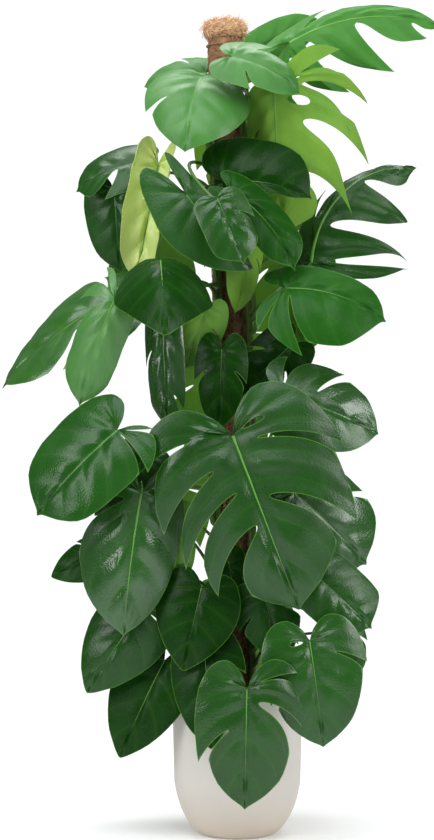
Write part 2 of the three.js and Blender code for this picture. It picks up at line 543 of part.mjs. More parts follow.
    aim: 12, lean: -25, turn: 172, tilt: 35, droop: 30, left: even(3, 0.4, 0.035),
    right: even(3, 0.4, 0.035), foot: ['back', 1220] },
  { name: 'leaf_back_high_left', look: LIGHT_LEAF, at: [-125, 150, 1215], length: 240, width: 225,
    aim: -28, lean: -22, turn: 205, tilt: 30, droop: 30, left: even(3, 0.4, 0.035),
    right: even(3, 0.4, 0.035), foot: ['back', 1080] },
  { name: 'leaf_back_high_right', look: DARK_LEAF, at: [86, 150, 1150], length: 240, width: 230,
    aim: 22, lean: -24, turn: 155, tilt: 30, droop: 30, left: even(3, 0.4, 0.035),
    right: even(3, 0.4, 0.035), foot: ['back', 990] },
  { name: 'leaf_back_middle', look: DARK_LEAF, at: [-20, 180, 960], length: 290, width: 280,
    aim: -8, lean: -18, turn: 185, tilt: 25, droop: 28, left: even(4, 0.4, 0.03),
    right: even(4, 0.4, 0.03), foot: ['back', 800] },
  { name: 'leaf_back_low_right', look: DARK_LEAF, at: [92, 130, 730], length: 250, width: 235,
    aim: 24, lean: -22, turn: 152, tilt: 25, droop: 30, left: even(3, 0.4, 0.035),
    right: even(3, 0.4, 0.035), foot: ['back', 600] },
  { name: 'leaf_back_low_left', look: DARK_LEAF, at: [-140, 140, 650], length: 255, width: 235,
    aim: -26, lean: -22, turn: 208, tilt: 25, droop: 30, left: even(3, 0.4, 0.035),
    right: even(3, 0.4, 0.035), foot: ['back', 500] },
  { name: 'leaf_back_bottom', look: DARK_LEAF, at: [10, 190, 430], length: 235, width: 220,
    aim: 5, lean: -20, turn: 178, tilt: 25, droop: 28, left: even(3, 0.4, 0.035),
    right: even(3, 0.4, 0.035), foot: ['back', 330] },
];

// Pot and soil

const POT_ROUND = 100;              // height of the rounded part above the base
const RIM_ROUND = 2.4;

// Outside of the pot from the base's edge to the rim, drawn in by inset
function potWall(inset) {
  const shoulder = POT_RADIUS - POT_TAPER - inset;
  const foot = POT_FOOT_RADIUS - inset * 0.6;
  const curve = new THREE.CubicBezierCurve(
    new THREE.Vector2(foot, inset), new THREE.Vector2(foot + 16, inset),
    new THREE.Vector2(shoulder - 9, 36 + inset), new THREE.Vector2(shoulder, POT_ROUND + inset));
  return curve.getPoints(6);
}

function potGeometry() {
  const outer = potWall(0);
  const inner = potWall(POT_WALL).reverse();
  const rim = Array.from({ length: 4 }, (_, i) => {
    const turn = Math.PI * i / 3;
    const middle = POT_RADIUS - POT_WALL / 2;
    return new THREE.Vector2(middle + POT_WALL / 2 * Math.cos(turn),
      POT_HEIGHT - RIM_ROUND + RIM_ROUND * Math.sin(turn));
  });
  const profile = [new THREE.Vector2(0, 0), ...outer, ...rim, ...inner, new THREE.Vector2(0, POT_WALL)];
  return turned(profile, POT_SIDES);
}

function soilGeometry() {
  const edge = potWall(POT_WALL + GAP);
  const top = [[POT_RADIUS - POT_WALL - GAP - 1.2, SOIL_TOP - 3], [96, SOIL_TOP + 1], [60, SOIL_TOP - 2]];
  const profile = [new THREE.Vector2(0, POT_WALL + GAP), ...edge,
    ...top.map((p) => new THREE.Vector2(...p)), new THREE.Vector2(0, SOIL_TOP)];
  let solid = solidOf(turned(profile, POT_SIDES));
  const hole = (bottom, top, radius, sides) => (
    bar([poleAxis(bottom), poleAxis(top)], [radius, radius], sides));
  const holes = [
    hole(COIR_BOTTOM - GAP, SOIL_TOP + 30, COIR_RADIUS + GAP, COIR_SIDES + 4),
    hole(STAKE_BOTTOM - GAP, COIR_BOTTOM + 5, STAKE_RADIUS + GAP, STAKE_SIDES),
    ...Object.values(STEMS).map((stem) => (
      stemBar(stem, STEM_BOTTOM + 2 * STEM_STEP, GAP + 0.3, STEM_BOTTOM - 2))),
  ];
  for (const cut of holes) solid = solid.subtract(solidOf(cut));
  return geometryOf(solid);
}

// Pole

function poleGroup() {
  const group = new THREE.Group();
  group.position.set(POLE_BASE[0], POLE_BASE[1], 0);
  group.rotation.y = -rad(POLE_LEAN);
  const stakeTop = COIR_TOP + ROLL_HEIGHT / 2;
  const stake = turned([
    [0, STAKE_BOTTOM], [STAKE_RADIUS - 2, STAKE_BOTTOM], [STAKE_RADIUS, STAKE_BOTTOM + 4],
    [STAKE_RADIUS, stakeTop], [0, stakeTop]], STAKE_SIDES);
  group.add(mesh('pole_stake', stake, WOOD));
  const bore = STAKE_RADIUS + GAP;
  const wrap = [[bore, COIR_BOTTOM], [COIR_RADIUS - 2, COIR_BOTTOM], [COIR_RADIUS, COIR_BOTTOM + 4],
    [COIR_RADIUS, COIR_TOP - 4], [COIR_RADIUS - 2, COIR_TOP], [bore, COIR_TOP], [bore, COIR_BOTTOM]];
  group.add(mesh('coir_wrap', turned(wrap, COIR_SIDES), COIR));
  const base = COIR_TOP + GAP;
  const roll = [
    [bore, base], [COIR_RADIUS - 6, base], [ROLL_RADIUS - 3, base + 7],
    [ROLL_RADIUS, base + 15], [ROLL_RADIUS - 3, base + 24], [COIR_RADIUS - 6, base + ROLL_HEIGHT],
    [bore + 4, base + ROLL_HEIGHT - 3], [bore, base + 20], [bore, base]];
  group.add(mesh('coir_roll', turned(roll, COIR_SIDES), COIR));
  const round = COIR_RADIUS + TIE_RADIUS + GAP + 0.2;
  const binding = new THREE.TorusGeometry(round, TIE_RADIUS, 5, COIR_SIDES);
  binding.translate(0, 0, COIR_TOP - BINDING_DROP);
  group.add(mesh('top_binding', binding, TWINE));
  return group;
}

// Corners of the smallest outline round the points, in order
function hull(points) {
  const sorted = [...points].sort((a, b) => a.x - b.x || a.y - b.y);
  const cross = (o, a, b) => (a.x - o.x) * (b.y - o.y) - (a.y - o.y) * (b.x - o.x);
  const chain = (list) => {
    const kept = [];
    for (const p of list) {
      while (kept.length > 1 && cross(kept.at(-2), kept.at(-1), p) <= 0) kept.pop();
      kept.push(p);
    }
    return kept.slice(0, -1);
  };
  return [...chain(sorted), ...chain(sorted.reverse())];
}

// A twine loop drawn tight round the coir and the stems that reach this height
function tieGeometry(height) {
  const stand = TIE_RADIUS + GAP + TIE_SLACK;
  const rounds = [[poleAxis(height), COIR_RADIUS]];
  for (const stem of Object.values(STEMS)) {
    if (stem.top > height) rounds.push([stemPoint(stem, height), stemRadius(stem, height)]);
  }
  const samples = rounds.flatMap(([centre, radius]) => Array.from({ length: 24 }, (_, i) => {
    const turn = 2 * Math.PI * i / 24;
    const reach = radius + stand;
    return new THREE.Vector2(centre.x + reach * Math.cos(turn), centre.y + reach * Math.sin(turn));
  }));
  const corners = hull(samples).map((p) => vec(p.x, p.y, height));
  const loop = new THREE.CatmullRomCurve3(corners, true, 'centripetal');
  const points = loop.getSpacedPoints(20).slice(0, -1);
  return bar(points, points.map(() => TIE_RADIUS), 4, true);
}

const plant = new THREE.Group();
plant.add(mesh('pot', potGeometry(), WHITE));
plant.add(mesh('soil', soilGeometry(), SOIL));
plant.add(poleGroup());
for (const [side, stem] of Object.entries(STEMS)) {
  plant.add(mesh(`stem_${side}`, stemBar(stem, stem.top), STEM));
}
for (const [place, height] of Object.entries(TIE_HEIGHTS)) {
  plant.add(mesh(`tie_${place}`, tieGeometry(height), TWINE));
}
for (const leaf of LEAVES) {
  plant.add(mesh(leaf.name, leafGeometry(leaf), leaf.look));
}

export default plant;
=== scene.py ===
"""Potted swiss cheese plant on a coir pole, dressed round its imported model."""
import math

import bpy
import numpy as np
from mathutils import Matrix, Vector


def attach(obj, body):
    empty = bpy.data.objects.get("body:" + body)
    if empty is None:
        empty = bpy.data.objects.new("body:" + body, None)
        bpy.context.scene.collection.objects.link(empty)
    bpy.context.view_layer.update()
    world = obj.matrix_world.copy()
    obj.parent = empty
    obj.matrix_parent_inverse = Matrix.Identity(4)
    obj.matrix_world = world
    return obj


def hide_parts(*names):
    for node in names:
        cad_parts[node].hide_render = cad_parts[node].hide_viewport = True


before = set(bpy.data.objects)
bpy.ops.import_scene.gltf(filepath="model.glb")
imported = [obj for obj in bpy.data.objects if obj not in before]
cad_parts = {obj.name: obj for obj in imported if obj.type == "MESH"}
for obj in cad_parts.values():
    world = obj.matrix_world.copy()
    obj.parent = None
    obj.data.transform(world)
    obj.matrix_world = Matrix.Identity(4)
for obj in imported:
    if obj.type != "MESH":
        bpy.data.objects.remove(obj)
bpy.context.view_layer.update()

bl_info = {
    "name": "Potted swiss cheese plant",
    "version": (1, 0, 0),
    "blender": (4, 5, 0),
    "location": "View3D > Sidebar > Plant",
    "description": "Leaves, stems, coir pole, soil and pot of a climbing swiss cheese plant",
    "category": "Add Mesh",
}

# Shapes are worked out in millimetres and put into meshes in metres
METRES = 0.001

# The part's own sizes, in millimetres
POT_RADIUS = 125
POT_TAPER = 4
POT_HEIGHT = 268
POT_FOOT_RADIUS = 66
POT_WALL = 5
POT_ROUND = 100
RIM_ROUND = 2.4
SOIL_TOP = 236
POLE_BASE = 4
POLE_LEAN = math.radians(1.04)
COIR_RADIUS = 34
COIR_BOTTOM = 60
COIR_TOP = 1522
ROLL_RADIUS = 38
ROLL_HEIGHT = 30
BINDING_DROP = 14
TIE_HEIGHTS = {"low": 455, "middle": 845, "high": 1232}
STEM_RADIUS = 8
STEM_BOTTOM = 120
PETIOLE_RADIUS = 3.2
PETIOLE_INSET = 7

# Sizes of the finer detail, in millimetres
# Painted light on the coir sleeve: it turns paler from this height upwards, over this span
PAINTED_LIGHT_FROM = 1370
PAINTED_LIGHT_OVER = 130
STEM_GAP = 1.5
STEM_EVEN_TO = 700
NODE_SPACING = 62
ROOT_RADIUS = 2.1
KNEE_BEFORE = 22
KNEE_SIZE = 13
STRAND_RADIUS = 0.85
STRAND_OFFSET = 0.75
TWINE_LAY = 8
TWINE_STAND = 2.0
BINDING_STAND = 1.4

# Stems climb beside the pole, each at its own bearing seen from above, and wander a little. An
# aerial root is where it starts, how long it is and how many degrees it swings round the pole
STEMS = {
    "left": dict(bearing=232, top=1440, wander=9, phase=0.4,
                 roots=[(1180, 260, 30), (860, 330, 36), (560, 310, 24)]),
    "right": dict(bearing=322, top=1400, wander=8, phase=2.1,
                  roots=[(1100, 300, -30), (760, 280, -34), (520, 270, 30)]),
    "back": dict(bearing=98, top=1330, wander=10, phase=4.0,
                 roots=[(980, 330, 40), (640, 360, -40)]),
}

# One half of a leaf's outline from the notch to the tip: share of the half width, share of the
# length, and how far along the midrib the vein that ends there starts
OUTLINE = np.array([
    (0.00, 0.00, 0.00), (0.13, -0.12, 0.00), (0.38, -0.21, 0.00), (0.68, -0.18, 0.00),
    (0.90, -0.04, 0.00), (1.00, 0.15, 0.03), (0.97, 0.36, 0.14), (0.83, 0.57, 0.30),
    (0.60, 0.76, 0.49), (0.30, 0.90, 0.70), (0.08, 0.975, 0.88), (0.00, 1.00, 1.00)])
# What a fully broad leaf adds to it
BROADER = np.array([
    (0.00, 0.00, 0.00), (0.00, 0.00, 0.00), (0.00, 0.00, 0.00), (0.02, 0.00, 0.00),
    (0.03, 0.00, 0.00), (0.00, 0.00, 0.00), (0.02, 0.02, 0.00), (0.13, 0.03, 0.00),
    (0.24, 0.02, 0.00), (0.20, -0.01, 0.00), (0.03, -0.01, 0.00), (0.00, 0.02, 0.02)])
# Veins before this share start at the petiole. Those before BOW_TURN bow away from the notch
FIRST_RISING_VEIN = 4 / 11
BOW_TURN = 0.26
BOW_EASE = 0.1
LOBE_BACK = 0.05
# Side veins and columns of the mesh are about these shares of the outline apart
VEIN_STEP = 0.12
COLUMN_STEP = 0.036
PLAIN_ROWS = 20
# Relief of a blade 200 mm long, in millimetres
SIZED_FOR = 200
QUILT = 4.4
CREASE = 1.2
GUTTER = 1.2
WAVE = 4.0
RIPPLE = 1.4
LOBE_LIFT = 11
RIDGE = 0.7


def even(count, start, width, low=0.36, high=0.76):
    """Cuts [vein, start, width] at even steps along the half outline"""
    steps = [i / (count - 1) if count > 1 else 0.5 for i in range(count)]
    return [(round(low + (high - low) * k, 3), start, width) for k in steps]


# How strongly each kind of gloss mirrors the light
GLOSS = {"dull": 0.12, "satin": 0.34, "shiny": 0.5, "glossy": 0.88}

# What a leaf has where its row says nothing else. tone is how light it is among its kind: partly the
# leaf's own green, partly painted shade where a low tone darkens leaves that lie in shade, and above 1
# a painted glow of light shining through the blade. relief is how strongly it is creased. left and
# right are the cuts [vein, start, width] of each half, or holes with an end after them; a half stands
# up by its fold, comes down by its curl and is as wide as its share. path is how far the petiole goes
# outwards, upwards and behind the blade
USUAL = dict(look="dark", tone=0.5, gloss="satin", relief=1, left=[], right=[], broad=0.35, heel=1,
             bow=0.1, point=0.07, sweep=0, twist=0, fold_left=8, fold_right=8, curl_left=30,
             curl_right=30, left_share=1, right_share=1, path=[0.12, 0.4, 0.3])

# at is where the petiole meets the blade, and foot its stem and the height there. aim is degrees
# from straight down, + towards +X; lean brings the tip to the front; turn and tilt say where the
# face looks; droop and sweep bend the midrib
COLUMNS = ("name", "at", "length", "width", "aim", "lean", "turn", "tilt", "droop", "foot")


def leaf(*row, **form):
    """A leaf from its row under COLUMNS and from what sets it apart from a usual one"""
    return {**USUAL, **dict(zip(COLUMNS, row)), **form}


# In the rows, a low tone is partly painted shade on leaves that lie in shade, and a tone above 1 is a
# painted glow of light shining through the blade
LEAVES = [
    leaf("leaf_top_right", [100, -5, 1515], 300, 150, 122, 0, 10, 58, 30, ["right", 1335],
         look="light", tone=0.68, gloss="dull",
         left=[[0.3, 0.15, 0.08], [0.5, 0.1, 0.11], [0.7, 0.1, 0.11], [0.86, 0.3, 0.05]],
         right=[[0.5, 0.3, 0.05]], sweep=-50, fold_left=-30, curl_left=20, left_share=1.6,
         right_share=0.55, point=0.2),
    leaf("leaf_top_back_right", [25, 80, 1502], 168, 90, 124, -8, 10, 15, 20, ["back", 1320],
         look="light", tone=0.75, gloss="dull", left=[[0.8, 0.12, 0.07]]),
    leaf("leaf_top_dome", [-12, -126, 1466], 150, 128, 82, 20, 5, 42, 60, ["right", 1395],
         look="light", tone=0.6, gloss="shiny", left=even(1, 0.5, 0.03), right=even(1, 0.5, 0.03),
         path=[0.0, 0.9, 0.2]),
    leaf("leaf_top_left", [-68, -88, 1436], 182, 218, -24, 56, -5, 58, 60, ["left", 1300],
         look="light", tone=0.66, gloss="shiny", left=[[0.62, 0.55, 0.03]],
         right=[[0.36, 0.3, 0.06]], fold_right=4, curl_right=55, left_share=0.88, right_share=1.12,
         broad=0.2, heel=0.8),
    leaf("leaf_top_back_left", [-62, 45, 1465], 130, 105, -95, 0, -20, 40, 45, ["back", 1270],
         look="light", left=even(1, 0.5, 0.04), right=even(1, 0.5, 0.04)),
    leaf("leaf_high_left", [-178, 0, 1287], 150, 120, -84, 8, -15, 38, 50, ["left", 1160],
         right=[[0.66, 0.1, 0.12]], broad=0.9),
    leaf("leaf_high_middle_left", [-96, -150, 1208], 188, 158, 36, 2, -6, 18, 14, ["left", 1060],
         tone=0.75, gloss="shiny", right=[[0.5, 0.3, 0.05]], sweep=14, curl_left=8, left_share=1.05,
         right_share=0.4, broad=-0.2, heel=2.1),
    leaf("leaf_high_middle", [-38, -188, 1196], 128, 100, 24, 14, 5, 10, 25, ["left", 1272],
         tone=0.6, gloss="shiny", right=even(1, 0.55, 0.03), broad=1.1, heel=0.5,
         path=[0.9, 0.15, 0.0]),
    leaf("leaf_high_middle_dark", [-28, -112, 1236], 172, 184, 96, 6, 10, 15, 30, ["right", 1195],
         tone=0.05, gloss="dull", sweep=-26, left_share=0.22, broad=0.8),
    leaf("leaf_high_middle_low", [-10, -139, 1214], 188, 92, 56, 8, 10, 20, 20, ["right", 1140],
         tone=0.45, gloss="dull", sweep=-30, broad=1, path=[0.1, 0.3, 0.3]),
    leaf("leaf_high_strip", [18, -66, 1140], 150, 100, -2, 10, 45, 10, 20, ["right", 1000],
         look="light", tone=1.6, gloss="dull", left=even(1, 0.5, 0.03), right=even(1, 0.5, 0.03)),
    leaf("leaf_high_right", [67, -88, 1414], 285, 315, 3, -4, -2, 10, 25, ["right", 1270],
         look="light", tone=1.62, gloss="dull", left=even(3, 0.5, 0.03),
         right=[[0.27, 0.5, 0.07], [0.42, 0.34, 0.12], [0.58, 0.3, 0.12], [0.74, 0.3, 0.08],
                [0.34, 0.14, 0.04, 0.4], [0.5, 0.14, 0.04, 0.4]],
         fold_left=-25, fold_right=0, left_share=0.35, broad=0.8, bow=0.2, point=0.28),
    leaf("leaf_right_arching", [142, 18, 1094], 325, 276, 176, 4, 5, 15, 28, ["right", 960],
         left=[[0.42, 0.25, 0.1], [0.6, 0.12, 0.1], [0.78, 0.1, 0.08]], right=even(1, 0.5, 0.04),
         sweep=-88, fold_left=0, fold_right=-60, curl_left=6, left_share=1.1, right_share=0.4,
         bow=0.03, point=0.35, heel=0.3),
    leaf("leaf_right_slit", [88, -132, 1036], 200, 178, 92, 12, 15, 32, 40, ["right", 985],
         tone=0.95, gloss="dull", left=[[0.26, 0.2, 0.04], [0.48, 0.16, 0.05]], sweep=-22,
         left_share=1.3, right_share=0.6, broad=0.8, bow=0.18, point=0.2),
    leaf("leaf_behind_centre", [100, -62, 932], 150, 110, -48, 8, 10, 20, 25, ["right", 800],
         tone=0.05, gloss="dull", left=even(1, 0.5, 0.04), right=even(1, 0.5, 0.04), broad=0.8),
    leaf("leaf_inner_middle", [-30, -114, 922], 150, 100, -3, 6, -5, 10, 20, ["left", 790],
         tone=0.15, gloss="dull", left=even(1, 0.5, 0.03), right=even(1, 0.5, 0.03)),
    leaf("leaf_centre", [-10, -202, 762], 342, 352, 21, 8, -4, 12, 22, ["left", 598], tone=0.45,
         gloss="shiny",
         left=[[0.38, 0.5, 0.03], [0.53, 0.3, 0.045], [0.62, 0.18, 0.035], [0.72, 0.12, 0.07]],
         right=[[0.48, 0.22, 0.035], [0.38, 0.14, 0.045, 0.4], [0.66, 0.14, 0.06]], broad=0.25,
         bow=0.17, point=0.13),
    leaf("leaf_centre_right", [85, -112, 838], 200, 172, 74, 4, 10, 20, 32, ["right", 690],
         tone=0.85, gloss="glossy", right=[[0.36, 0.12, 0.1], [0.6, 0.3, 0.04]]),
    leaf("leaf_low_right_dark", [105, -120, 655], 200, 200, 50, 0, 10, 15, 30, ["right", 520],
         tone=0.75, gloss="glossy", right=[[0.34, 0.25, 0.08], [0.6, 0.4, 0.04]], broad=1),
    leaf("leaf_low_right", [148, -148, 500], 138, 132, 50, 6, 10, 15, 25, ["right", 500], tone=0.6,
         gloss="shiny", broad=1.3),
    leaf("leaf_low_right_strip", [200, -60, 405], 105, 75, 18, 10, 15, 10, 25, ["right", 330],
         right=even(1, 0.5, 0.04)),
    leaf("leaf_bottom_right", [130, -198, 388], 198, 190, 9, 12, 5, 10, 28, ["right", 300],
         tone=0.6, gloss="shiny", left=[[0.42, 0.14, 0.045, 0.4], [0.62, 0.5, 0.03]],
         right=[[0.5, 0.45, 0.03]], broad=0.2, path=[0.45, 0.0, 0.25]),
    leaf("leaf_low_middle", [47, -105, 466], 138, 130, 18, 8, 0, 10, 25, ["right", 360],
         left=even(1, 0.5, 0.03), right=even(1, 0.5, 0.03), broad=-0.2),
    leaf("leaf_over_pot", [15, -230, 305], 222, 196, -1, 5, 0, 10, 18, ["right", 262], tone=0.45,
         gloss="shiny", left=[[0.62, 0.35, 0.03]], right=[[0.32, 0.35, 0.035], [0.52, 0.2, 0.1]],
         left_share=0.86, bow=0.17, point=0.18, path=[0.5, 0.1, 0.25]),
    leaf("leaf_over_pot_left", [-62, -108, 360], 183, 140, 3, 12, -10, 10, 10, ["left", 300],
         tone=0.0, gloss="dull", right=[[0.5, 0.35, 0.04]], broad=-0.1),
    leaf("leaf_low_centre_left", [-68, -125, 478], 160, 162, -14, 10, -5, 10, 25, ["left", 350],
         tone=0.0, gloss="dull", broad=-0.3),
    leaf("leaf_left_lower", [-178, -165, 656], 268, 205, -10, 8, -12, 10, 24, ["left", 632],
         tone=0.75, gloss="glossy", left=[[0.34, 0.3, 0.05], [0.47, 0.22, 0.12]],
         right=[[0.3, 0.5, 0.03]], fold_right=-25, left_share=1.28, broad=0.2, point=0.15),
    leaf("leaf_far_left_dark", [-250, -75, 540], 115, 95, -72, 6, -15, 20, 30, ["left", 440],
         tone=0.3, gloss="dull", left=even(1, 0.6, 0.02), right=even(1, 0.5, 0.03), broad=-0.2),
    leaf("leaf_left_large", [-222, -185, 772], 216, 196, -50, 10, -8, 28, 30, ["left", 705],
         tone=0.75, right=[[0.2, 0.25, 0.04], [0.41, 0.12, 0.03]], broad=0.75),
    leaf("leaf_left_behind", [-172, -88, 722], 150, 105, -45, 6, -10, 15, 25, ["left", 674],
         tone=0.3, left=even(1, 0.5, 0.03), right=even(1, 0.5, 0.03)),
    leaf("leaf_far_left_curled", [-244, -30, 1018], 270, 195, -63, 5, -20, 38, 34, ["left", 962],
         tone=1.15, gloss="glossy", left=[[0.36, 0.3, 0.07]], right=[[0.6, 0.3, 0.05]], twist=30,
         broad=0.7, path=[0.05, 0.15, 0.3]),
    leaf("leaf_left_light", [-228, -162, 1012], 212, 102, -24, 0, -15, 15, 28, ["left", 1020],
         look="light", tone=0.8, gloss="glossy", left=[[0.26, 0.14, 0.1], [0.44, 0.14, 0.12]],
         fold_right=-26, left_share=1.25, broad=0.9, point=0.2),
    leaf("leaf_heart", [-142, -202, 1083], 178, 225, 8, 62, 0, 55, 58, ["left", 1048], tone=0.2,
         gloss="dull", relief=0.8, fold_left=-22, fold_right=-22, curl_left=34, curl_right=34,
         right_share=1.12, broad=-0.3, path=[0.12, 0.02, 0.42]),
    leaf("leaf_beside_young", [-238, 34, 1236], 160, 132, 2, 0, -15, 10, 20, ["left", 1090],
         broad=0.2),
    leaf("leaf_left_folded", [-140, -105, 978], 205, 84, 0, 4, -20, 10, 18, ["left", 830], tone=0.6,
         gloss="glossy", left=even(1, 0.5, 0.03), right=even(2, 0.5, 0.03), broad=0.8),
    leaf("leaf_inner_light", [-60, -96, 1000], 120, 95, -20, 2, 0, 20, 25, ["left", 930],
         look="light", tone=1.4, right=even(1, 0.5, 0.03)),
    leaf("leaf_low_left", [-175, -112, 440], 196, 170, -38, 10, -10, 15, 28, ["left", 400],
         tone=0.35, left=[[0.38, 0.2, 0.09]], right=[[0.42, 0.2, 0.04]], fold_right=-15,
         broad=-0.2),
    leaf("leaf_bottom_left", [-138, -78, 338], 205, 162, -28, 10, -10, 15, 25, ["left", 322],
         tone=0.12, gloss="dull", right=[[0.5, 0.4, 0.03]], broad=-0.2),
    leaf("leaf_lower_light", [-118, -110, 612], 130, 85, 3, 6, 0, 10, 22, ["left", 480],
         look="light", tone=1.3, left=even(1, 0.5, 0.03), right=even(1, 0.5, 0.04)),
    leaf("leaf_lower_strip", [-18, -78, 525], 130, 75, 12, 6, 5, 10, 20, ["right", 430], tone=0.05,
         gloss="dull", right=even(1, 0.5, 0.03)),
    leaf("young_leaf", [-150, -56, 1274], 226, 130, -12, 2, -10, 10, 14, ["left", 1215],
         look="young", relief=2.2, fold_left=15, fold_right=15, curl_left=-75, curl_right=-75),
    leaf("leaf_back_top", [20, 130, 1395], 230, 230, 12, -25, 172, 35, 30, ["back", 1220],
         look="light", tone=1.2, left=even(3, 0.4, 0.035), right=even(3, 0.4, 0.035)),
    leaf("leaf_back_high_left", [-125, 150, 1215], 240, 225, -28, -22, 205, 30, 30, ["back", 1080],
         look="light", left=even(3, 0.4, 0.035), right=even(3, 0.4, 0.035)),
    leaf("leaf_back_high_right", [86, 150, 1150], 240, 230, 22, -24, 155, 30, 30, ["back", 990],
         left=even(3, 0.4, 0.035), right=even(3, 0.4, 0.035)),
    leaf("leaf_back_middle", [-20, 180, 960], 290, 280, -8, -18, 185, 25, 28, ["back", 800],
         left=even(4, 0.4, 0.03), right=even(4, 0.4, 0.03)),
    leaf("leaf_back_low_right", [92, 130, 730], 250, 235, 24, -22, 152, 25, 30, ["back", 600],
         left=even(3, 0.4, 0.035), right=even(3, 0.4, 0.035)),
    leaf("leaf_back_low_left", [-140, 140, 650], 255, 235, -26, -22, 208, 25, 30, ["back", 500],
         left=even(3, 0.4, 0.035), right=even(3, 0.4, 0.035)),
    leaf("leaf_back_bottom", [10, 190, 430], 235, 220, 5, -20, 178, 25, 28, ["back", 330],
         left=even(3, 0.4, 0.035), right=even(3, 0.4, 0.035)),
]


# Numbers

def lattice(cell, seed):
    """A fixed random number from 0 to 1 for each whole-number lattice point"""
    n = (cell[..., 0] * 73856093 ^ cell[..., 1] * 19349663 ^ cell[..., 2] * 83492791) + seed * 7919
    n = (n ^ (n >> 13)) & 0xFFFFFF
    n = (n * 1274126177) & 0xFFFFFFFF
    return ((n >> 8) & 0xFFFF) / 65535


def noise(points, size, seed=0, octaves=3):
    """Smooth noise from -1 to 1: lattice numbers blended over cells of the given size, then again
    at half the size and half the height"""
    points = np.asarray(points, float) / size
    total = np.zeros(points.shape[:-1])
    height = 1.0
    for octave in range(octaves):
        low = np.floor(points).astype(np.int64)
        part = points - low
        part = part * part * (3 - 2 * part)
        value = 0
        for corner in np.ndindex(2, 2, 2):
            weight = np.prod(np.where(corner, part, 1 - part), axis=-1)
            value = value + weight * lattice(low + np.array(corner), seed + octave)
        total += height * (2 * value - 1)
        height /= 2
        points = points * 2
    return total / 1.75


def unit(vectors):
    """Vectors divided by their length"""
    return vectors / np.maximum(np.linalg.norm(vectors, axis=-1, keepdims=True), 1e-9)


def ease(x):
    """0 below 0, 1 above 1, and 3x^2 - 2x^3 between them"""
    x = np.clip(x, 0, 1)
    return x * x * (3 - 2 * x)


def bell(x, width):
    """1 at 0, falling to both sides: exp(-(x / width)^2)"""
    return np.exp(-(x / width) ** 2)


def circle(count):
    """Angles evenly round a circle"""
    return np.linspace(0, 2 * np.pi, count, endpoint=False)


def polar(radius, angle, height):
    """Points at an angle about the vertical: (r cos a, r sin a, h)"""
    return np.stack(np.broadcast_arrays(radius * np.cos(angle), radius * np.sin(angle), height), -1)


def cubic(handles, steps):
    """A curve from a to d, drawn by b and c: (1-t)^3 a + 3t (1-t)^2 b + 3t^2 (1-t) c + t^3 d"""
    a, b, c, d = np.array(handles)
    t = np.linspace(0, 1, steps)[:, None]
    return (1 - t) ** 3 * a + 3 * t * (1 - t) ** 2 * b + 3 * t * t * (1 - t) * c + t ** 3 * d


# Surfaces. Each gives points and triangles

def grid_faces(rows, columns, closed=False):
    """Two triangles for each cell of a grid of points. A closed grid joins its last column to its
    first"""
    across = columns if closed else columns - 1
    i, j = np.meshgrid(np.arange(rows - 1), np.arange(across), indexing="ij")
    a = (i * columns + j).ravel()
    b = (i * columns + (j + 1) % columns).ravel()
    c, d = b + columns, a + columns
    return np.vstack([np.column_stack([a, b, c]), np.column_stack([a, c, d])])


def turned(profile, sides, dent=None):
    """A profile of (radius, height) turned about the vertical, closed at both ends where its radius
    is 0. dent moves the points"""
    profile = np.asarray(profile, float)
    angle = circle(sides)
    points = polar(profile[:, :1], angle, profile[:, 1:])
    if dent is not None:
        points = dent(points)
    return points.reshape(-1, 3), grid_faces(len(profile), sides, closed=True)


def tubes(paths, radii, sides, reference, closed=False):
    """Round bars: each point of a path carries a ring, centre + radius (cos k across + sin k other),
    where across is the reference direction made square to the path. Open bars end in flat caps"""
    count, steps = paths.shape[:2]
    if closed:
        along = unit(np.roll(paths, -1, axis=1) - np.roll(paths, 1, axis=1))
    else:
        along = unit(np.gradient(paths, axis=1))
    reference = np.broadcast_to(reference, paths.shape)
    across = unit(reference - (reference * along).sum(-1, keepdims=True) * along)
    other = np.cross(along, across)
    turn = circle(sides)
    radii = np.broadcast_to(radii, (count, steps, sides) if np.ndim(radii) == 3 else (count, steps))
    radii = radii if radii.ndim == 3 else radii[..., None]
    points = paths[:, :, None] + radii[..., None] * (
        np.cos(turn)[:, None] * across[:, :, None] + np.sin(turn)[:, None] * other[:, :, None])
    rings = steps + 1 if closed else steps
    faces = grid_faces(rings, sides, closed=True)
    if closed:
        faces = faces % (steps * sides)
    else:
        fan = np.arange(1, sides - 1)
        start = np.column_stack([np.zeros_like(fan), fan + 1, fan])
        end = (steps - 1) * sides + np.column_stack([np.zeros_like(fan), fan, fan + 1])
        faces = np.vstack([faces, start, end])
    every = faces[None] + (np.arange(count) * steps * sides)[:, None, None]
    return points.reshape(-1, 3), every.reshape(-1, 3)


def welded(points, faces, grain=0.02):
    """Points closer than the grain become one, and triangles that shrink to a line go"""
    keys = np.round(points / grain).astype(np.int64)
    _, first, back = np.unique(keys, axis=0, return_index=True, return_inverse=True)
    faces = back.ravel()[faces]
    real = (faces[:, 0] != faces[:, 1]) & (faces[:, 1] != faces[:, 2]) & (faces[:, 2] != faces[:, 0])
    return first, faces[real]


def rim_edges(faces):
    """The edges that only one triangle has, in that triangle's direction"""
    edges = np.vstack([faces[:, [0, 1]], faces[:, [1, 2]], faces[:, [2, 0]]])
    size = int(faces.max()) + 1
    keys = edges[:, 0] * size + edges[:, 1]
    return edges[~np.isin(keys, edges[:, 1] * size + edges[:, 0])]


def linked(name, data):
    """A new object at the origin, in the scene"""
    made = bpy.data.objects.new(name, data)
    bpy.context.scene.collection.objects.link(made)
    return made


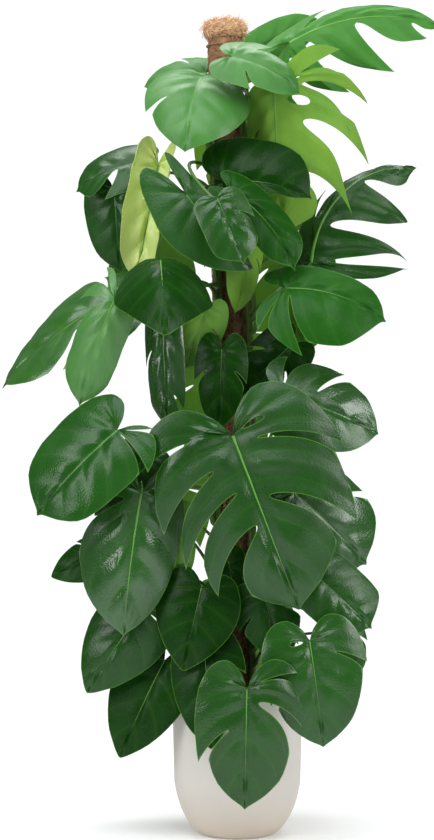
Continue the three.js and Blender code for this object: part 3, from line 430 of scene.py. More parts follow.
class Gathered:
    """Surfaces gathered into one mesh, each with its finish and values for its points"""

    # How light, and how far from the midrib, a side vein and the margin
    VALUES = ("tone", "rib", "vein", "edge")

    def __init__(self):
        self.points, self.faces, self.finish, self.flat = [], [], [], []
        self.values = {name: [] for name in self.VALUES}
        self.count = 0

    def add(self, surface, finish=0, flat=None, **values):
        points, faces = surface
        self.points.append(points)
        self.faces.append(faces + self.count)
        self.finish.append(np.broadcast_to(finish, len(faces)))
        self.flat.append(np.zeros((len(points), 2)) if flat is None else flat)
        for name in self.VALUES:
            self.values[name].append(np.broadcast_to(values.get(name, 0.0), len(points)))
        self.count += len(points)

    def piece(self, name, node, slot, materials, values=(), sharp=50):
        """One object at the origin, with its place in its mesh, that stands for the node"""
        points = np.vstack(self.points) * METRES
        faces = np.vstack(self.faces)
        mesh = bpy.data.meshes.new(name)
        mesh.vertices.add(len(points))
        mesh.vertices.foreach_set("co", points.ravel())
        mesh.loops.add(faces.size)
        mesh.loops.foreach_set("vertex_index", faces.ravel())
        mesh.polygons.add(len(faces))
        mesh.polygons.foreach_set("loop_start", np.arange(0, faces.size, 3))
        mesh.polygons.foreach_set("material_index", np.concatenate(self.finish))
        mesh.update(calc_edges=True)
        for value in values:
            held = mesh.attributes.new(value, "FLOAT", "POINT")
            held.data.foreach_set("value", np.concatenate(self.values[value]))
        flat = np.vstack(self.flat)
        if flat.any():
            layer = mesh.uv_layers.new(name="flat")
            layer.data.foreach_set("uv", (flat * METRES)[faces.ravel()].ravel())
        mesh.shade_smooth()
        mesh.set_sharp_from_angle(angle=math.radians(sharp))
        for material in materials:
            mesh.materials.append(material)
        made = linked(name, mesh)
        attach(made, "root")
        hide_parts(node)
        return made


# Materials

class Finish:
    """A node material round one Principled shader"""

    def __init__(self, name, **settings):
        self.material = bpy.data.materials.new(name)
        self.material.use_nodes = True
        self.nodes = self.material.node_tree.nodes
        self.links = self.material.node_tree.links
        self.shader = self.nodes["Principled BSDF"]
        for socket, value in settings.items():
            self.shader.inputs[socket.replace("_", " ")].default_value = value

    def add(self, kind, settings=None, **inputs):
        """A node. Its inputs are named, or numbered as in0, in1"""
        made = self.nodes.new("ShaderNode" + kind)
        for name, value in (settings or {}).items():
            setattr(made, name, value)
        for name, value in inputs.items():
            socket = made.inputs[int(name[2:]) if name.startswith("in") else name.replace("_", " ")]
            if isinstance(value, bpy.types.NodeSocket):
                self.links.new(value, socket)
            else:
                socket.default_value = value
        return made

    def place(self, *stretch):
        """Place on the object, squeezed along each axis by the stretch"""
        place = self.add("TexCoord").outputs["Object"]
        return self.add("Mapping", Vector=place, Scale=stretch).outputs[0] if stretch else place

    def flat(self):
        return self.add("UVMap", {"uv_map": "flat"}).outputs[0]

    def value(self, name):
        return self.add("Attribute", {"attribute_name": name}).outputs["Fac"]

    def noise(self, where, scale, detail=3.0, roughness=0.55):
        made = self.add("TexNoise", Vector=where, Scale=scale, Detail=detail, Roughness=roughness)
        return made.outputs["Fac"]

    def cloud(self, scale, low, high, start, end):
        """Noise on the object, spread from start to end"""
        return self.ramp(self.noise(self.place(), scale), low, high, start, end)

    def ramp(self, value, low, high, start=0.0, end=1.0):
        """start where the value is low, end where it is high, and even between them"""
        made = self.add("MapRange", {"clamp": True}, in0=value, in1=low, in2=high, in3=start, in4=end)
        return made.outputs[0]

    def math(self, operation, a, b=0.0):
        return self.add("Math", {"operation": operation}, in0=a, in1=b).outputs[0]

    def mix(self, share, a, b):
        """Colour a at share 0, b at 1. A colour is a socket or three numbers"""
        a, b = (end if isinstance(end, bpy.types.NodeSocket) else (*end, 1) for end in (a, b))
        return self.add("Mix", {"data_type": "RGBA"}, in0=share, in6=a, in7=b).outputs[2]

    def colour(self, socket):
        self.links.new(socket, self.shader.inputs["Base Color"])

    def rough(self, socket):
        self.links.new(socket, self.shader.inputs["Roughness"])

    def bump(self, height, strength, distance=0.001):
        made = self.add("Bump", Height=height, Strength=strength, Distance=distance)
        self.links.new(made.outputs[0], self.shader.inputs["Normal"])


def shade(colour, *factors):
    """The colour times one factor, or times one for each of its three numbers"""
    return [min(1.0, c * f) for c, f in zip(colour, factors * 3 if len(factors) == 1 else factors)]


def blade_finish(name, deep, pale, lit, rib, roughness, gloss, net):
    """A leaf face: from deep to pale by the leaf's tone up to 1, a low tone being partly painted shade,
    and on to lit up to 2, a painted glow of light shining through the blade, with a paler midrib, side
    veins, margin and a fine net between the veins"""
    made = Finish(name, Specular_IOR_Level=gloss)
    share = made.math("ADD", made.value("tone"), made.cloud(14.0, 0.3, 0.7, -0.16, 0.16))
    # A low tone gives painted shade, and a tone above 1 a painted glow of light through the blade
    base = made.mix(made.ramp(share, 0.0, 1.0), deep, pale)
    base = made.mix(made.ramp(share, 1.0, 2.0), base, lit)
    cells = made.add("TexVoronoi", {"feature": "DISTANCE_TO_EDGE"}, Vector=made.flat(), Scale=170.0)
    away = cells.outputs["Distance"]
    veins = made.ramp(away, 0.0, 0.12, net, 0.0)
    for value, low, high, strength in (("rib", 0.5, 2.0, 0.42), ("vein", 0.2, 1.1, 0.12),
                                       ("edge", 0.4, 1.9, 0.6), ("vein", 0.0, 9.0, 0.05)):
        veins = made.math("MAXIMUM", veins, made.ramp(made.value(value), low, high, strength, 0.0))
    made.colour(made.mix(veins, base, rib))
    patch = made.cloud(9.0, 0.38, 0.62, roughness - 0.07, roughness + 0.13)
    made.rough(made.math("ADD", patch, made.cloud(60.0, 0.3, 0.7, -0.03, 0.03)))
    relief = made.math("ADD", made.ramp(away, 0.0, 0.3), made.noise(made.flat(), 60.0))
    made.bump(relief, 0.22, 0.0006)
    return made.material


def stalk_finish(name, green, brown):
    """A petiole or stem: green streaked along its length, brown where its tone is high"""
    made = Finish(name, Roughness=0.42)
    streak = made.noise(made.place(60, 60, 9), 4.0)
    share = made.math("ADD", made.value("tone"), made.ramp(streak, 0.35, 0.7, -0.25, 0.3))
    made.colour(made.mix(made.ramp(share, 0.0, 1.0), green, brown))
    made.bump(streak, 0.3, 0.0008)
    return made.material


def fibre_finish(name, dark, light):
    """Coconut fibre: each strand has its own tone"""
    made = Finish(name, Roughness=0.9)
    share = made.math("ADD", made.value("tone"), made.cloud(90.0, 0.3, 0.7, -0.3, 0.3))
    made.colour(made.mix(made.ramp(share, 0.0, 1.0), dark, light))
    made.bump(made.noise(made.place(), 600.0), 0.5, 0.0008)
    return made.material


def soil_finish(name, dark, light):
    """Soil: dark and light by one coarse noise, which also raises it"""
    made = Finish(name, Roughness=0.95)
    cloud = made.noise(made.place(), 120.0, 5.0, 0.7)
    made.colour(made.mix(made.ramp(cloud, 0.35, 0.75), dark, light))
    made.bump(cloud, 0.8, 0.003)
    return made.material


def pot_finish(name, colour):
    """Matt glaze: nearly even, with faint clouds and a fine grain, and a painted shade that makes it
    darker and warmer towards the foot
    """
    made = Finish(name)
    glaze = made.mix(made.cloud(6.0, 0.3, 0.7, 0.0, 1.0), colour, shade(colour, 0.96))
    # Painted shade: darker and warmer over the lowest 110 mm of the pot
    height = made.add("SeparateXYZ", in0=made.place()).outputs[2]
    made.colour(made.mix(made.ramp(height, 0.0, 0.11, 0.9, 0.0), glaze, shade(colour, 0.92, 0.84, 0.74)))
    grain = made.noise(made.place(), 500.0, 2.0)
    made.rough(made.ramp(grain, 0.3, 0.7, 0.48, 0.58))
    made.bump(grain, 0.05, 0.0005)
    return made.material


def wood_finish(name, colour):
    """Bare wood: grain drawn out along its height"""
    made = Finish(name, Roughness=0.75)
    grain = made.noise(made.place(80, 80, 4), 5.0)
    made.colour(made.mix(made.ramp(grain, 0.35, 0.65), colour, shade(colour, 0.6)))
    made.bump(grain, 0.3, 0.0005)
    return made.material


# Leaf blade, flat

def outline(s, broad):
    """The smooth curve through the outline's points at the share s of its length"""
    knots = OUTLINE + broad * BROADER
    held = np.vstack([2 * knots[0] - knots[1], knots, 2 * knots[-1] - knots[-2]])
    place = np.clip(s, 0, 1) * (len(OUTLINE) - 1)
    index = np.minimum(place.astype(int), len(OUTLINE) - 2)
    w = (place - index)[..., None]
    before, start, end, after = (held[index + k] for k in range(4))
    leave, arrive = (end - before) / 2, (after - start) / 2
    return (start + w * leave + w ** 2 * (-3 * start + 3 * end - 2 * leave - arrive)
            + w ** 3 * (2 * start - 2 * end + leave + arrive))


def vein_point(leaf, s, t, share):
    """Point on the vein s, at the share t of its length: a bow from the midrib to the outline. The
    veins before BOW_TURN bow away from the notch"""
    end = outline(s, leaf["broad"])
    end_x = end[..., 0] * leaf["width"] / 2 * share
    end_y = end[..., 1] * leaf["length"] * np.where(end[..., 1] < 0, leaf["heel"], 1)
    root = np.where(s <= FIRST_RISING_VEIN, 0, np.maximum(end[..., 2], 0) * leaf["length"])
    bow = leaf["bow"] * np.clip((s - BOW_TURN) / BOW_EASE, -0.5, 1)
    bend_x = 0.5 * end_x + bow * (end_y - root)
    bend_y = 0.5 * (end_y + root) - bow * end_x
    middle = 2 * t * (1 - t)
    return middle * bend_x + t * t * end_x, (1 - t) ** 2 * root + middle * bend_y + t * t * end_y


def along_cut(cut, t):
    """The share of the cut's length that is behind t. A cut without an end goes to the margin"""
    end = cut[3] if len(cut) == 4 else 1
    return np.clip((t - cut[1]) / (end - cut[1]), 0, 1)


def cut_edges(cuts, t):
    """How far the two edges of the cuts on a vein stand from it. A hole is a round lens; a cut
    starts round, stays narrow and opens to the margin"""
    back, front = np.zeros_like(t), np.zeros_like(t)
    for cut in cuts:
        width = cut[2]
        u = along_cut(cut, t)
        if len(cut) == 4:
            back -= 0.5 * width * np.sqrt(4 * u * (1 - u))
            front += 0.5 * width * np.sqrt(4 * u * (1 - u))
        else:
            back -= 0.45 * width * np.sqrt(u) * (1 - 0.75 * u)
            front += width * (0.55 * np.sqrt(u) * (1 - 0.3 * u) + 0.7 * u ** 3)
    return back, front


def opening(cuts, t):
    """How far a lobe beside the cuts is free: 0 where they start, 1 at the margin"""
    split = [along_cut(cut, t) for cut in cuts if len(cut) == 3]
    return np.max(split, axis=0) if split else np.zeros_like(t)


def side_veins(cuts):
    """Where the side veins run: evenly between two cuts, so that each lobe has at least one"""
    bounds = [0.02] + sorted({cut[0] for cut in cuts}) + [0.97]
    veins = []
    for low, high in zip(bounds, bounds[1:]):
        count = max(1, round((high - low) / VEIN_STEP))
        veins += [low + (high - low) * (k + 0.5) / count for k in range(count)]
    return np.array(veins)


def thinned(shares, least):
    """The shares in order, without those that follow another by less than the least, up to 1"""
    shares = np.unique(np.round(np.concatenate(shares), 4))
    shares = shares[np.concatenate([[True], np.diff(shares) > least])]
    shares[-1] = 1.0
    return shares


def blade_rows(leaf):
    """Shares along the veins: even, and closer where a cut or a hole starts or ends"""
    rows = [np.linspace(0, 1, PLAIN_ROWS)]
    near = np.array([0.0, 0.012, 0.05, 0.11])
    for cut in leaf["left"] + leaf["right"]:
        start = cut[1]
        if len(cut) == 4:
            turn = np.linspace(0, np.pi, 9)
            rows.append(start + (cut[3] - start) * (1 - np.cos(turn)) / 2)
        else:
            rows.append(start + (1 - start) * near)
    return thinned(rows, 0.006)


def blade_columns(low, high, veins):
    """Shares of the way from low to high: even, and one on each vein between them"""
    steps = max(2, math.ceil((high - low) / COLUMN_STEP) + 1)
    inside = (veins[(veins > low) & (veins < high)] - low) / (high - low)
    return thinned([np.linspace(0, 1, steps), inside], 0.004)


def from_vein(place, veins):
    """How far a place is from the nearest side vein: 0 on it, 0.5 halfway to the next"""
    index = np.interp(place, veins, np.arange(len(veins)))
    beyond = np.minimum(np.abs(place - veins[0]), np.abs(place - veins[-1])) / VEIN_STEP
    return np.where((place < veins[0]) | (place > veins[-1]), beyond, np.abs(index - np.round(index)))


def vein_gap(leaf, s, t, share, step=0.01):
    """How many millimetres across the veins one unit of s is"""
    x, y = vein_point(leaf, s, t, share)
    wide_x, wide_y = vein_point(leaf, s + step, t, share)
    long_x, long_y = vein_point(leaf, s, t + step, share)
    run = unit(np.stack([long_x - x, long_y - y], -1))
    return np.abs((wide_x - x) * run[..., 1] - (wide_y - y) * run[..., 0]) / step


def flat_blade(leaf):
    """Both halves of the blade as flat points, triangles and their distances from the veins. Each
    half is a fan of strips between two veins; from one cut to the next they share a lobe, which
    narrows towards the margin"""
    rows = blade_rows(leaf)[:, None]
    marks = np.array(sorted({0.0, 1.0} | {cut[0] for cut in leaf["left"] + leaf["right"]}))
    veins = {"right": side_veins(leaf["right"]), "left": side_veins(leaf["left"])}
    both = np.concatenate(list(veins.values()))
    points, faces, near, ribs, count = [], [], [], [], 0
    draw = np.random.default_rng(len(leaf["name"]) + int(leaf["length"]))
    lifts = {}
    for half, side in (("right", 1), ("left", -1)):
        held, share = leaf[half], leaf[half + "_share"]
        bounds = [0.0] + [cut[0] for cut in held] + [1.0]
        for low, high in zip(marks, marks[1:]):
            nominal = low + (high - low) * blade_columns(low, high, both)[None, :]
            first = max(b for b in bounds if b <= low)
            last = min(b for b in bounds if b >= high)
            behind, ahead = ([cut for cut in held if cut[0] == end] for end in (first, last))
            start = first + cut_edges(behind, rows)[1]
            end = last + cut_edges(ahead, rows)[0]
            place = (nominal - first) / (last - first)
            s = start + (end - start) * place
            open_behind, open_ahead = opening(behind, rows), opening(ahead, rows)
            back = 1 - LOBE_BACK * open_behind ** 2
            point = 1 + leaf["point"] * open_ahead ** 2
            t = rows * (back + (point - back) * place)
            x, y = vein_point(leaf, s, t, share)
            part = from_vein(nominal, veins[half])
            near.append((part * vein_gap(leaf, s, t, share) * VEIN_STEP).ravel())
            free = np.maximum(open_behind * (1 - place), open_ahead * place)
            lobe = lifts.setdefault((side, first), draw.uniform(-1, 0.35)) * free ** 1.5
            ribs.append(np.stack(np.broadcast_arrays(part, rows, lobe), -1).reshape(-1, 3))
            points.append(np.stack([side * x, y], -1).reshape(-1, 2))
            piece = grid_faces(*s.shape)
            faces.append((piece if side > 0 else piece[:, ::-1]) + count)
            count += s.size
    points, faces = np.vstack(points), np.vstack(faces)
    first, faces = welded(points, faces)
    return points[first], faces, np.concatenate(near)[first], np.vstack(ribs)[first]


# Leaf blade, bent

def turned_about(vectors, axis, angle):
    """Vectors turned about a unit axis: v cos a + (axis x v) sin a + axis (axis . v)(1 - cos a)"""
    angle = np.asarray(angle)[..., None]
    axis = np.broadcast_to(axis, vectors.shape)
    return (vectors * np.cos(angle) + np.cross(axis, vectors) * np.sin(angle)
            + axis * (axis * vectors).sum(-1, keepdims=True) * (1 - np.cos(angle)))


def leaf_frame(leaf):
    """Directions of the blade where the petiole meets it: along the midrib, out of its face, across"""
    aim, lean, turn, tilt = (math.radians(leaf[k]) for k in ("aim", "lean", "turn", "tilt"))
    along = np.array([math.sin(aim) * math.cos(lean), -math.sin(lean), -math.cos(aim) * math.cos(lean)])
    face = np.array([math.sin(turn) * math.cos(tilt), -math.cos(turn) * math.cos(tilt), math.sin(tilt)])
    face = unit(face - (face @ along) * along)
    return along, face, np.cross(face, along)


def bent(leaf, x, y):
    """The midrib bends away from the face by droop and sideways by sweep, in one arc, and each
    half stands up by its fold and then curls down"""
    along, face, across = leaf_frame(leaf)
    droop, sweep = math.radians(leaf["droop"]), math.radians(leaf["sweep"])
    rate = (math.hypot(droop, sweep) or 1e-3) / leaf["length"]
    inward = unit(-droop * face + sweep * across)
    angle = rate * np.maximum(y, 0)
    axis = np.cross(along, inward)
    middle = (np.array(leaf["at"], float) + along * (np.sin(angle) / rate + np.minimum(y, 0))[..., None]
              + inward * ((1 - np.cos(angle)) / rate)[..., None])
    shape = (*angle.shape, 3)
    up, out, rib = (turned_about(np.broadcast_to(v, shape), axis, angle) for v in (face, across, along))
    twist = math.radians(leaf["twist"]) * np.maximum(y, 0) / leaf["length"]
    up, out = turned_about(up, rib, twist), turned_about(out, rib, twist)
    fold, curl = (np.radians(np.where(x < 0, leaf[kind + "_left"], leaf[kind + "_right"]))
                  for kind in ("fold", "curl"))
    half = leaf["width"] / 2
    slope = curl * np.abs(x) / half - fold
    reach = half / curl * (np.sin(slope) + np.sin(fold))
    rise = half / curl * (np.cos(slope) - np.cos(fold))
    return middle + out * (np.sign(x) * reach)[..., None] + up * rise[..., None]


def blade_normal(leaf, x, y, step=0.5):
    """Out of the face: across x along, from small steps on the bent blade"""
    across = bent(leaf, x + step, y) - bent(leaf, x - step, y)
    along = bent(leaf, x, y + step) - bent(leaf, x, y - step)
    return unit(np.cross(along, across))


def nearest(points, others, chunk=512):
    """Distance from each point to the nearest of the others"""
    result = [np.sqrt(((points[i:i + chunk, None] - others[None]) ** 2).sum(-1).min(1))
              for i in range(0, len(points), chunk)]
    return np.concatenate(result)


def blade(leaf, thickness, seed):
    """The blade as a thin closed shell. Between two side veins it bulges, at the veins and the
    midrib it is drawn in, short creases slant away from the midrib, and its margin waves a little"""
    flat, faces, near, held = flat_blade(leaf)
    part, t, lobe = held.T
    x, y = flat.T
    off = np.abs(x)
    rim = rim_edges(faces)
    edge = nearest(flat, flat[np.unique(rim)])
    place = np.column_stack([flat, np.full(len(flat), 100.0 * seed)])
    slanted = np.column_stack([off * 0.35 - y, 0.18 * (off + y), place[:, 2]])
    size = leaf["length"] / SIZED_FOR
    quilt = (QUILT * size * np.sin(np.pi * np.clip(part, 0, 0.5)) ** 2 * ease(t / 0.2)
             * (1 - 0.65 * ease((t - 0.2) / 0.5)) * (0.4 + 0.6 * ease(edge / 20)))
    crease = (CREASE * size * noise(slanted, 7 * size, seed + 4, 2) * ease(off / (5 * size))
              * bell(off, 26 * size) * ease(edge / 12) * (y > 0))
    gutter = -GUTTER * size * bell(off, 5 * size) * (y > 0)
    wave = WAVE * size * noise(place, 78 * size, seed, 2) * ease(off / (leaf["width"] * 0.3))
    ripple = RIPPLE * size * noise(place, 17 * size, seed + 9, 2) * np.exp(-edge / (9 * size))
    lift = (quilt + gutter + crease + wave + ripple + LOBE_LIFT * size * lobe) * leaf["relief"]
    middle, normal = bent(leaf, x, y), blade_normal(leaf, x, y)
    thin = thickness * (0.55 + 0.45 * ease(edge / 4))
    ridge = RIDGE * size * bell(near, 1.3) * ease((1 - t) / 0.4) * ease(edge / 3)
    upper = middle + normal * (lift + thin / 2)[:, None]
    lower = middle + normal * (lift - thin / 2 - ridge)[:, None]
    count = len(flat)
    p, q = rim.T
    sides = np.vstack([np.column_stack([q, p, p + count]), np.column_stack([q, p + count, q + count])])
    every = np.vstack([faces, faces[:, ::-1] + count, sides])
    finish = np.repeat([0, 1, 0], [len(faces), len(faces), len(sides)])
    rib = np.where(y > -2, off, 99) + 2.6 * np.clip(y / leaf["length"], 0, 1) ** 0.6
    values = {"rib": np.tile(rib / size, 2), "vein": np.tile(near, 2), "edge": np.tile(edge, 2)}
    return (np.vstack([upper, lower]), every), finish, np.tile(flat, (2, 1)), values


def midrib(leaf):
    """A tapering cord along the midrib, sunk in the face and standing proud below it"""
    size = leaf["length"] / SIZED_FOR
    y = np.linspace(-2, leaf["length"] * 0.97, 40)
    x = np.zeros_like(y)
    share = y / leaf["length"]
    radius = size * (2.0 * (1 - share) ** 1.2 + 0.3)
    path = bent(leaf, x, y) - blade_normal(leaf, x, y) * (0.55 * radius + 1.0 * size)[:, None]
    return tubes(path[None], radius[None], 8, blade_normal(leaf, x, y)[None])


# Pole, stems and what carries the leaves

def pole_axis(height):
    """The leaning axis of the pole: POLE_BASE - tan(POLE_LEAN) h along X"""
    height = np.asarray(height, float)
    return np.stack([POLE_BASE - math.tan(POLE_LEAN) * height, 0 * height, height], -1)


def stem_bearing(stem, height):
    """The bearing of a stem, which wanders by a sine of the height"""
    return np.radians(stem["bearing"] + stem["wander"] * np.sin(height / 140 + stem["phase"]))


def stem_point(stem, height, further=0.0):
    """The middle of a stem: the pole's axis and the coir, gap and stem beside it"""
    out = COIR_RADIUS + STEM_RADIUS + STEM_GAP + np.asarray(further)
    return pole_axis(height) + polar(1.0, stem_bearing(stem, height), 0.0) * out[..., None]


def stem_radius(stem, height):
    """Even up to STEM_EVEN_TO, then thinner by 35% at the tip"""
    return STEM_RADIUS * (1 - 0.35 * np.maximum(0, height - STEM_EVEN_TO) / (stem["top"] - STEM_EVEN_TO))


def petiole(leaf, steps=30, sides=12):
    """The petiole leaves its stem outwards and upwards and reaches the blade from behind, as a
    curve of four handles. It clasps the stem, has a groove on top and swells before the blade"""
    side, height = leaf["foot"]
    stem = STEMS[side]
    height = np.float64(height)
    foot = stem_point(stem, height, stem_radius(stem, height) + PETIOLE_RADIUS + 1)
    turn = stem_bearing(stem, height)
    radial = np.array([math.cos(turn), math.sin(turn), 0])
    along, face, _ = leaf_frame(leaf)
    end = np.array(leaf["at"]) + along * PETIOLE_INSET
    span = np.linalg.norm(end - foot)
    outward, upward, behind = leaf["path"]
    path = cubic([foot, foot + radial * span * outward + np.array([0, 0, span * upward]),
                  end - face * span * behind + np.array([0, 0, -0.05 * span]), end - face * 1.5], steps)
    root = foot - radial * (PETIOLE_RADIUS + 3) - np.array([0, 0, 5.0])
    path = np.vstack([root, path])
    t = np.concatenate([[0], np.linspace(0, 1, steps)])
    length = np.concatenate([[0], np.cumsum(np.linalg.norm(np.diff(path, axis=0), axis=1))])
    knee = bell(length[-1] - length - KNEE_BEFORE, KNEE_SIZE)
    thick = PETIOLE_RADIUS * (1.15 - 0.4 * t) * (1 + 0.55 * np.exp(-length / 16) + 0.28 * knee)
    around = circle(sides)
    groove = 1 - 0.22 * bell(around - np.pi / 2, 0.5)[None, :] * (1 - ease((t - 0.7) / 0.2))[:, None]
    reference = unit(np.cross(end - foot, [0, 0, 1.0]) + 1e-6)
    shape = tubes(path[None], (thick[:, None] * groove)[None], sides, reference)
    return shape, np.repeat(0.15 + 0.3 * knee + 0.25 * np.exp(-length / 40), sides)


def grow_leaf(leaf, index, looks, thickness):
    """A leaf as one piece: blade, midrib and petiole"""
    held = Gathered()
    surface, finish, flat, values = blade(leaf, thickness, index)
    held.add(surface, finish, flat, tone=leaf["tone"], **values)
    held.add(midrib(leaf), 2, tone=0.0)
    shape, dark = petiole(leaf)
    held.add(shape, 3, tone=dark + 0.35 * (noise(np.array([index * 7.3, 0, 0]), 1.0)))
    return held.piece(leaf["name"] + "_grown", leaf["name"], "leaf_" + leaf["look"],
                      looks[leaf["look"], leaf["gloss"]], Gathered.VALUES)


def grow_stem(side, stem, materials, rings=260, sides=20):
    """A stem as a ribbed tube: at each node a ring stands out, with a dark scar above it. Aerial
    roots hang down from it along the pole"""
    held = Gathered()
    height = np.linspace(STEM_BOTTOM, stem["top"], rings)
    phase = (height / NODE_SPACING + stem["phase"]) % 1
    node, scar = bell(phase - 0.5, 0.07), bell(phase - 0.6, 0.03)
    tip = ease((stem["top"] - height) / 26)
    radius = stem_radius(stem, height) * (0.96 + 0.10 * node) * (0.35 + 0.65 * tip)
    around = circle(sides)
    rough = 1 + 0.05 * noise(polar(1.0, around, height[:, None] / 60), 0.7, 3)
    brown = np.clip(0.35 + 0.5 * scar + 0.25 * (1 - ease((height - 150) / 900)), 0, 1)
    held.add(tubes(stem_point(stem, height)[None], (radius[:, None] * rough)[None], sides, (0, 1, 0)),
             tone=np.repeat(brown, sides))
    for number, (start, length, swing) in enumerate(stem["roots"]):
        drop = np.linspace(0, 1, 40)
        level = start - length * drop
        away = 5.5 * np.sin(np.pi * np.minimum(drop * 2, 1) / 2) + 1.5
        swung = np.radians(swing) * drop ** 0.7
        turn = stem_bearing(stem, level) + swung + 0.05 * np.sin(drop * 17 + number)
        out = COIR_RADIUS + STEM_GAP + 12 * (1 - ease(drop / 0.15)) + 0.3 * away
        line = pole_axis(level) + polar(1.0, turn, 0.0) * out[:, None]
        held.add(tubes(line[None], (ROOT_RADIUS * (1 - 0.45 * drop))[None], 8, (0, 1, 0.1)), 0, tone=0.95)
    return held.piece(f"stem_{side}_grown", f"stem_{side}", "stem", materials, ("tone",))


# Pole

def leaned(points):
    """Points of an upright pole brought onto its leaning axis"""
    turn = np.array([[math.cos(POLE_LEAN), 0, -math.sin(POLE_LEAN)], [0, 1, 0],
                     [math.sin(POLE_LEAN), 0, math.cos(POLE_LEAN)]])
    return points @ turn.T + np.array([POLE_BASE, 0, 0])


def spreader(draw, count):
    """A function that draws a number from low to high for each of the strands"""
    return lambda low, high: draw.uniform(low, high, (count, 1))


def lay_strands(held, paths, radii, tones):
    """Strands of coir on the leaning pole, three-sided, each with its own tone"""
    points, faces = tubes(paths, radii, 3, (0.01, 0.02, 1))
    held.add((leaned(points), faces), tone=np.repeat(tones, 3 * paths.shape[1]))


def wrap_coir(materials, strands):
    """A matted sleeve with loose fibres laid over it in all slants, paler towards its top: painted light
    on the top of the pole and painted shade lower down
    """
    held = Gathered()
    draw = np.random.default_rng(11)
    between = np.linspace(COIR_BOTTOM + 2, COIR_TOP - 2, 420)
    height = np.concatenate([[COIR_BOTTOM] * 2, between, [COIR_TOP] * 2])
    radius = np.concatenate([[12], np.full(len(height) - 2, COIR_RADIUS - 1.6), [12]])
    radius[1] = radius[-2] = COIR_RADIUS - 4

    def matted(points):
        swell = 1.5 * noise(points * [1, 1, 0.6], 9, 5) + 0.9 * noise(points, 2.6, 8, 2)
        return points * (1 + swell / (COIR_RADIUS + 1e-6))[..., None] * [1, 1, 0] + points * [0, 0, 1]

    # Painted light: how far up the sleeve it has turned paler; lower down it keeps a painted shade
    def paler(level):
        return ease((level - PAINTED_LIGHT_FROM) / PAINTED_LIGHT_OVER)

    points, faces = turned(np.column_stack([radius, height]), 84, matted)
    # Random tone of the matting, plus painted light near the top
    tone = 0.3 + 0.35 * noise(points, 14, 2) + 0.35 * paler(points[:, 2])
    held.add((leaned(points), faces), tone=tone)
    spread = spreader(draw, strands)
    start, turn = spread(COIR_BOTTOM + 20, COIR_TOP - 8), spread(0, 2 * np.pi)
    slant, length = draw.normal(0.2, 0.75, (strands, 1)), spread(26, 90)
    s = np.linspace(-0.5, 0.5, 9)[None, :]
    wobble = draw.normal(0, 0.05, (strands, 1)) * np.sin(s * 9 + spread(0, 6))
    around = turn + s * (length * np.cos(slant) / COIR_RADIUS) + wobble
    level = np.clip(start + s * (length * np.sin(slant)), COIR_BOTTOM + 2, COIR_TOP - 1)
    loose = spread(0, 1) ** 6
    out = COIR_RADIUS - 1.2 + spread(0, 1.3) + loose * 7 * np.abs(2 * s) ** 2
    radii = spread(0.22, 0.5) * (1 - 0.5 * np.abs(2 * s) ** 3)
    # Each strand's own tone, plus painted light near the top
    tones = spread(0.1, 1.0) + 0.3 * paler(start)
    lay_strands(held, polar(out, around, level), radii, tones)
    return held.piece("coir_wrap_fibres", "coir_wrap", "coir", materials, ("tone",))


def roll_coir(materials, strands):
    """The flared top: a matted ring with fibres round it, and ends and strays that stand up"""
    held = Gathered()
    draw = np.random.default_rng(12)
    base = COIR_TOP + 0.4
    turn = np.linspace(0, 2 * np.pi, 30)
    mid, half_wide, half_high = 24.5, 12.2, ROLL_HEIGHT / 2
    profile = np.column_stack([mid + half_wide * np.cos(turn),
                               base + half_high - half_high * np.sin(turn)])

    def matted(points):
        swell = 1.4 * noise(points, 8, 3) + 0.8 * noise(points, 2.5, 4, 2)
        return points + unit(points * [1, 1, 0]) * swell[..., None]

    points, faces = turned(profile, 90, matted)
    held.add((leaned(points), faces[:, ::-1]), tone=0.1 + 0.3 * noise(points, 9, 6))
    spread = spreader(draw, strands)
    spot, level, length = spread(0, 2 * np.pi), spread(-0.2 * np.pi, 0.85 * np.pi), spread(18, 60)
    slant = draw.normal(0, 0.6, (strands, 1))
    s = np.linspace(-0.5, 0.5, 8)[None, :]
    around = spot + s * (length * np.cos(slant) / ROLL_RADIUS)
    climb = level + s * (length * np.sin(slant) / 14)
    lift = 0.8 + spread(0, 2.4) + 13 * spread(0, 1) ** 5 * (s + 0.5) ** 2
    out = mid + (half_wide + lift) * np.cos(climb)
    radii = spread(0.3, 0.75) * (1 - 0.6 * (s + 0.5) ** 3)
    paths = polar(out, around, base + half_high + (half_high + lift) * np.sin(climb))
    lay_strands(held, paths, radii, spread(0.05, 1.2))
    strays = strands // 5
    spread = spreader(draw, strays)
    spot = spread(0, 2 * np.pi)
    heading, rise = spot + draw.normal(0, 0.9, (strays, 1)), spread(-0.3, 1.3)
    s = np.linspace(0, 1, 8)[None, :]
    length = spread(10, 30) * s
    bend = heading + draw.normal(0, 0.9, (strays, 1)) * s
    foot = mid + spread(-6, 10)
    radii = spread(0.3, 0.6) * (1 - 0.6 * s)
    level = base + 2 * half_high - 4 + length * np.sin(rise) - 7 * s ** 2
    paths = polar(foot, spot, 0.0) + polar(length * np.cos(rise), bend, level)
    lay_strands(held, paths, radii, spread(0.4, 1.0))
    return held.piece("coir_roll_fibres", "coir_roll", "coir", materials, ("tone",))


def loop_round(rounds, height, stand, count=320):
    """A band drawn tight round circles: the furthest point of them in every direction, spaced evenly"""
    angle = circle(720)
    away = np.stack([np.cos(angle), np.sin(angle)], -1)
    centres = np.array([c[:2] for c, _ in rounds])
    radii = np.array([r + stand for _, r in rounds])
    best = np.argmax(away @ centres.T + radii, axis=1)
    points = centres[best] + away * radii[best][:, None]
    closed = np.vstack([points, points[:1]])
    run = np.concatenate([[0], np.cumsum(np.linalg.norm(np.diff(closed, axis=0), axis=1))])
    even_run = np.linspace(0, run[-1], count, endpoint=False)
    x, y = (np.interp(even_run, run, closed[:, k]) for k in (0, 1))
    return np.stack([x, y, np.full(count, float(height))], -1), run[-1]


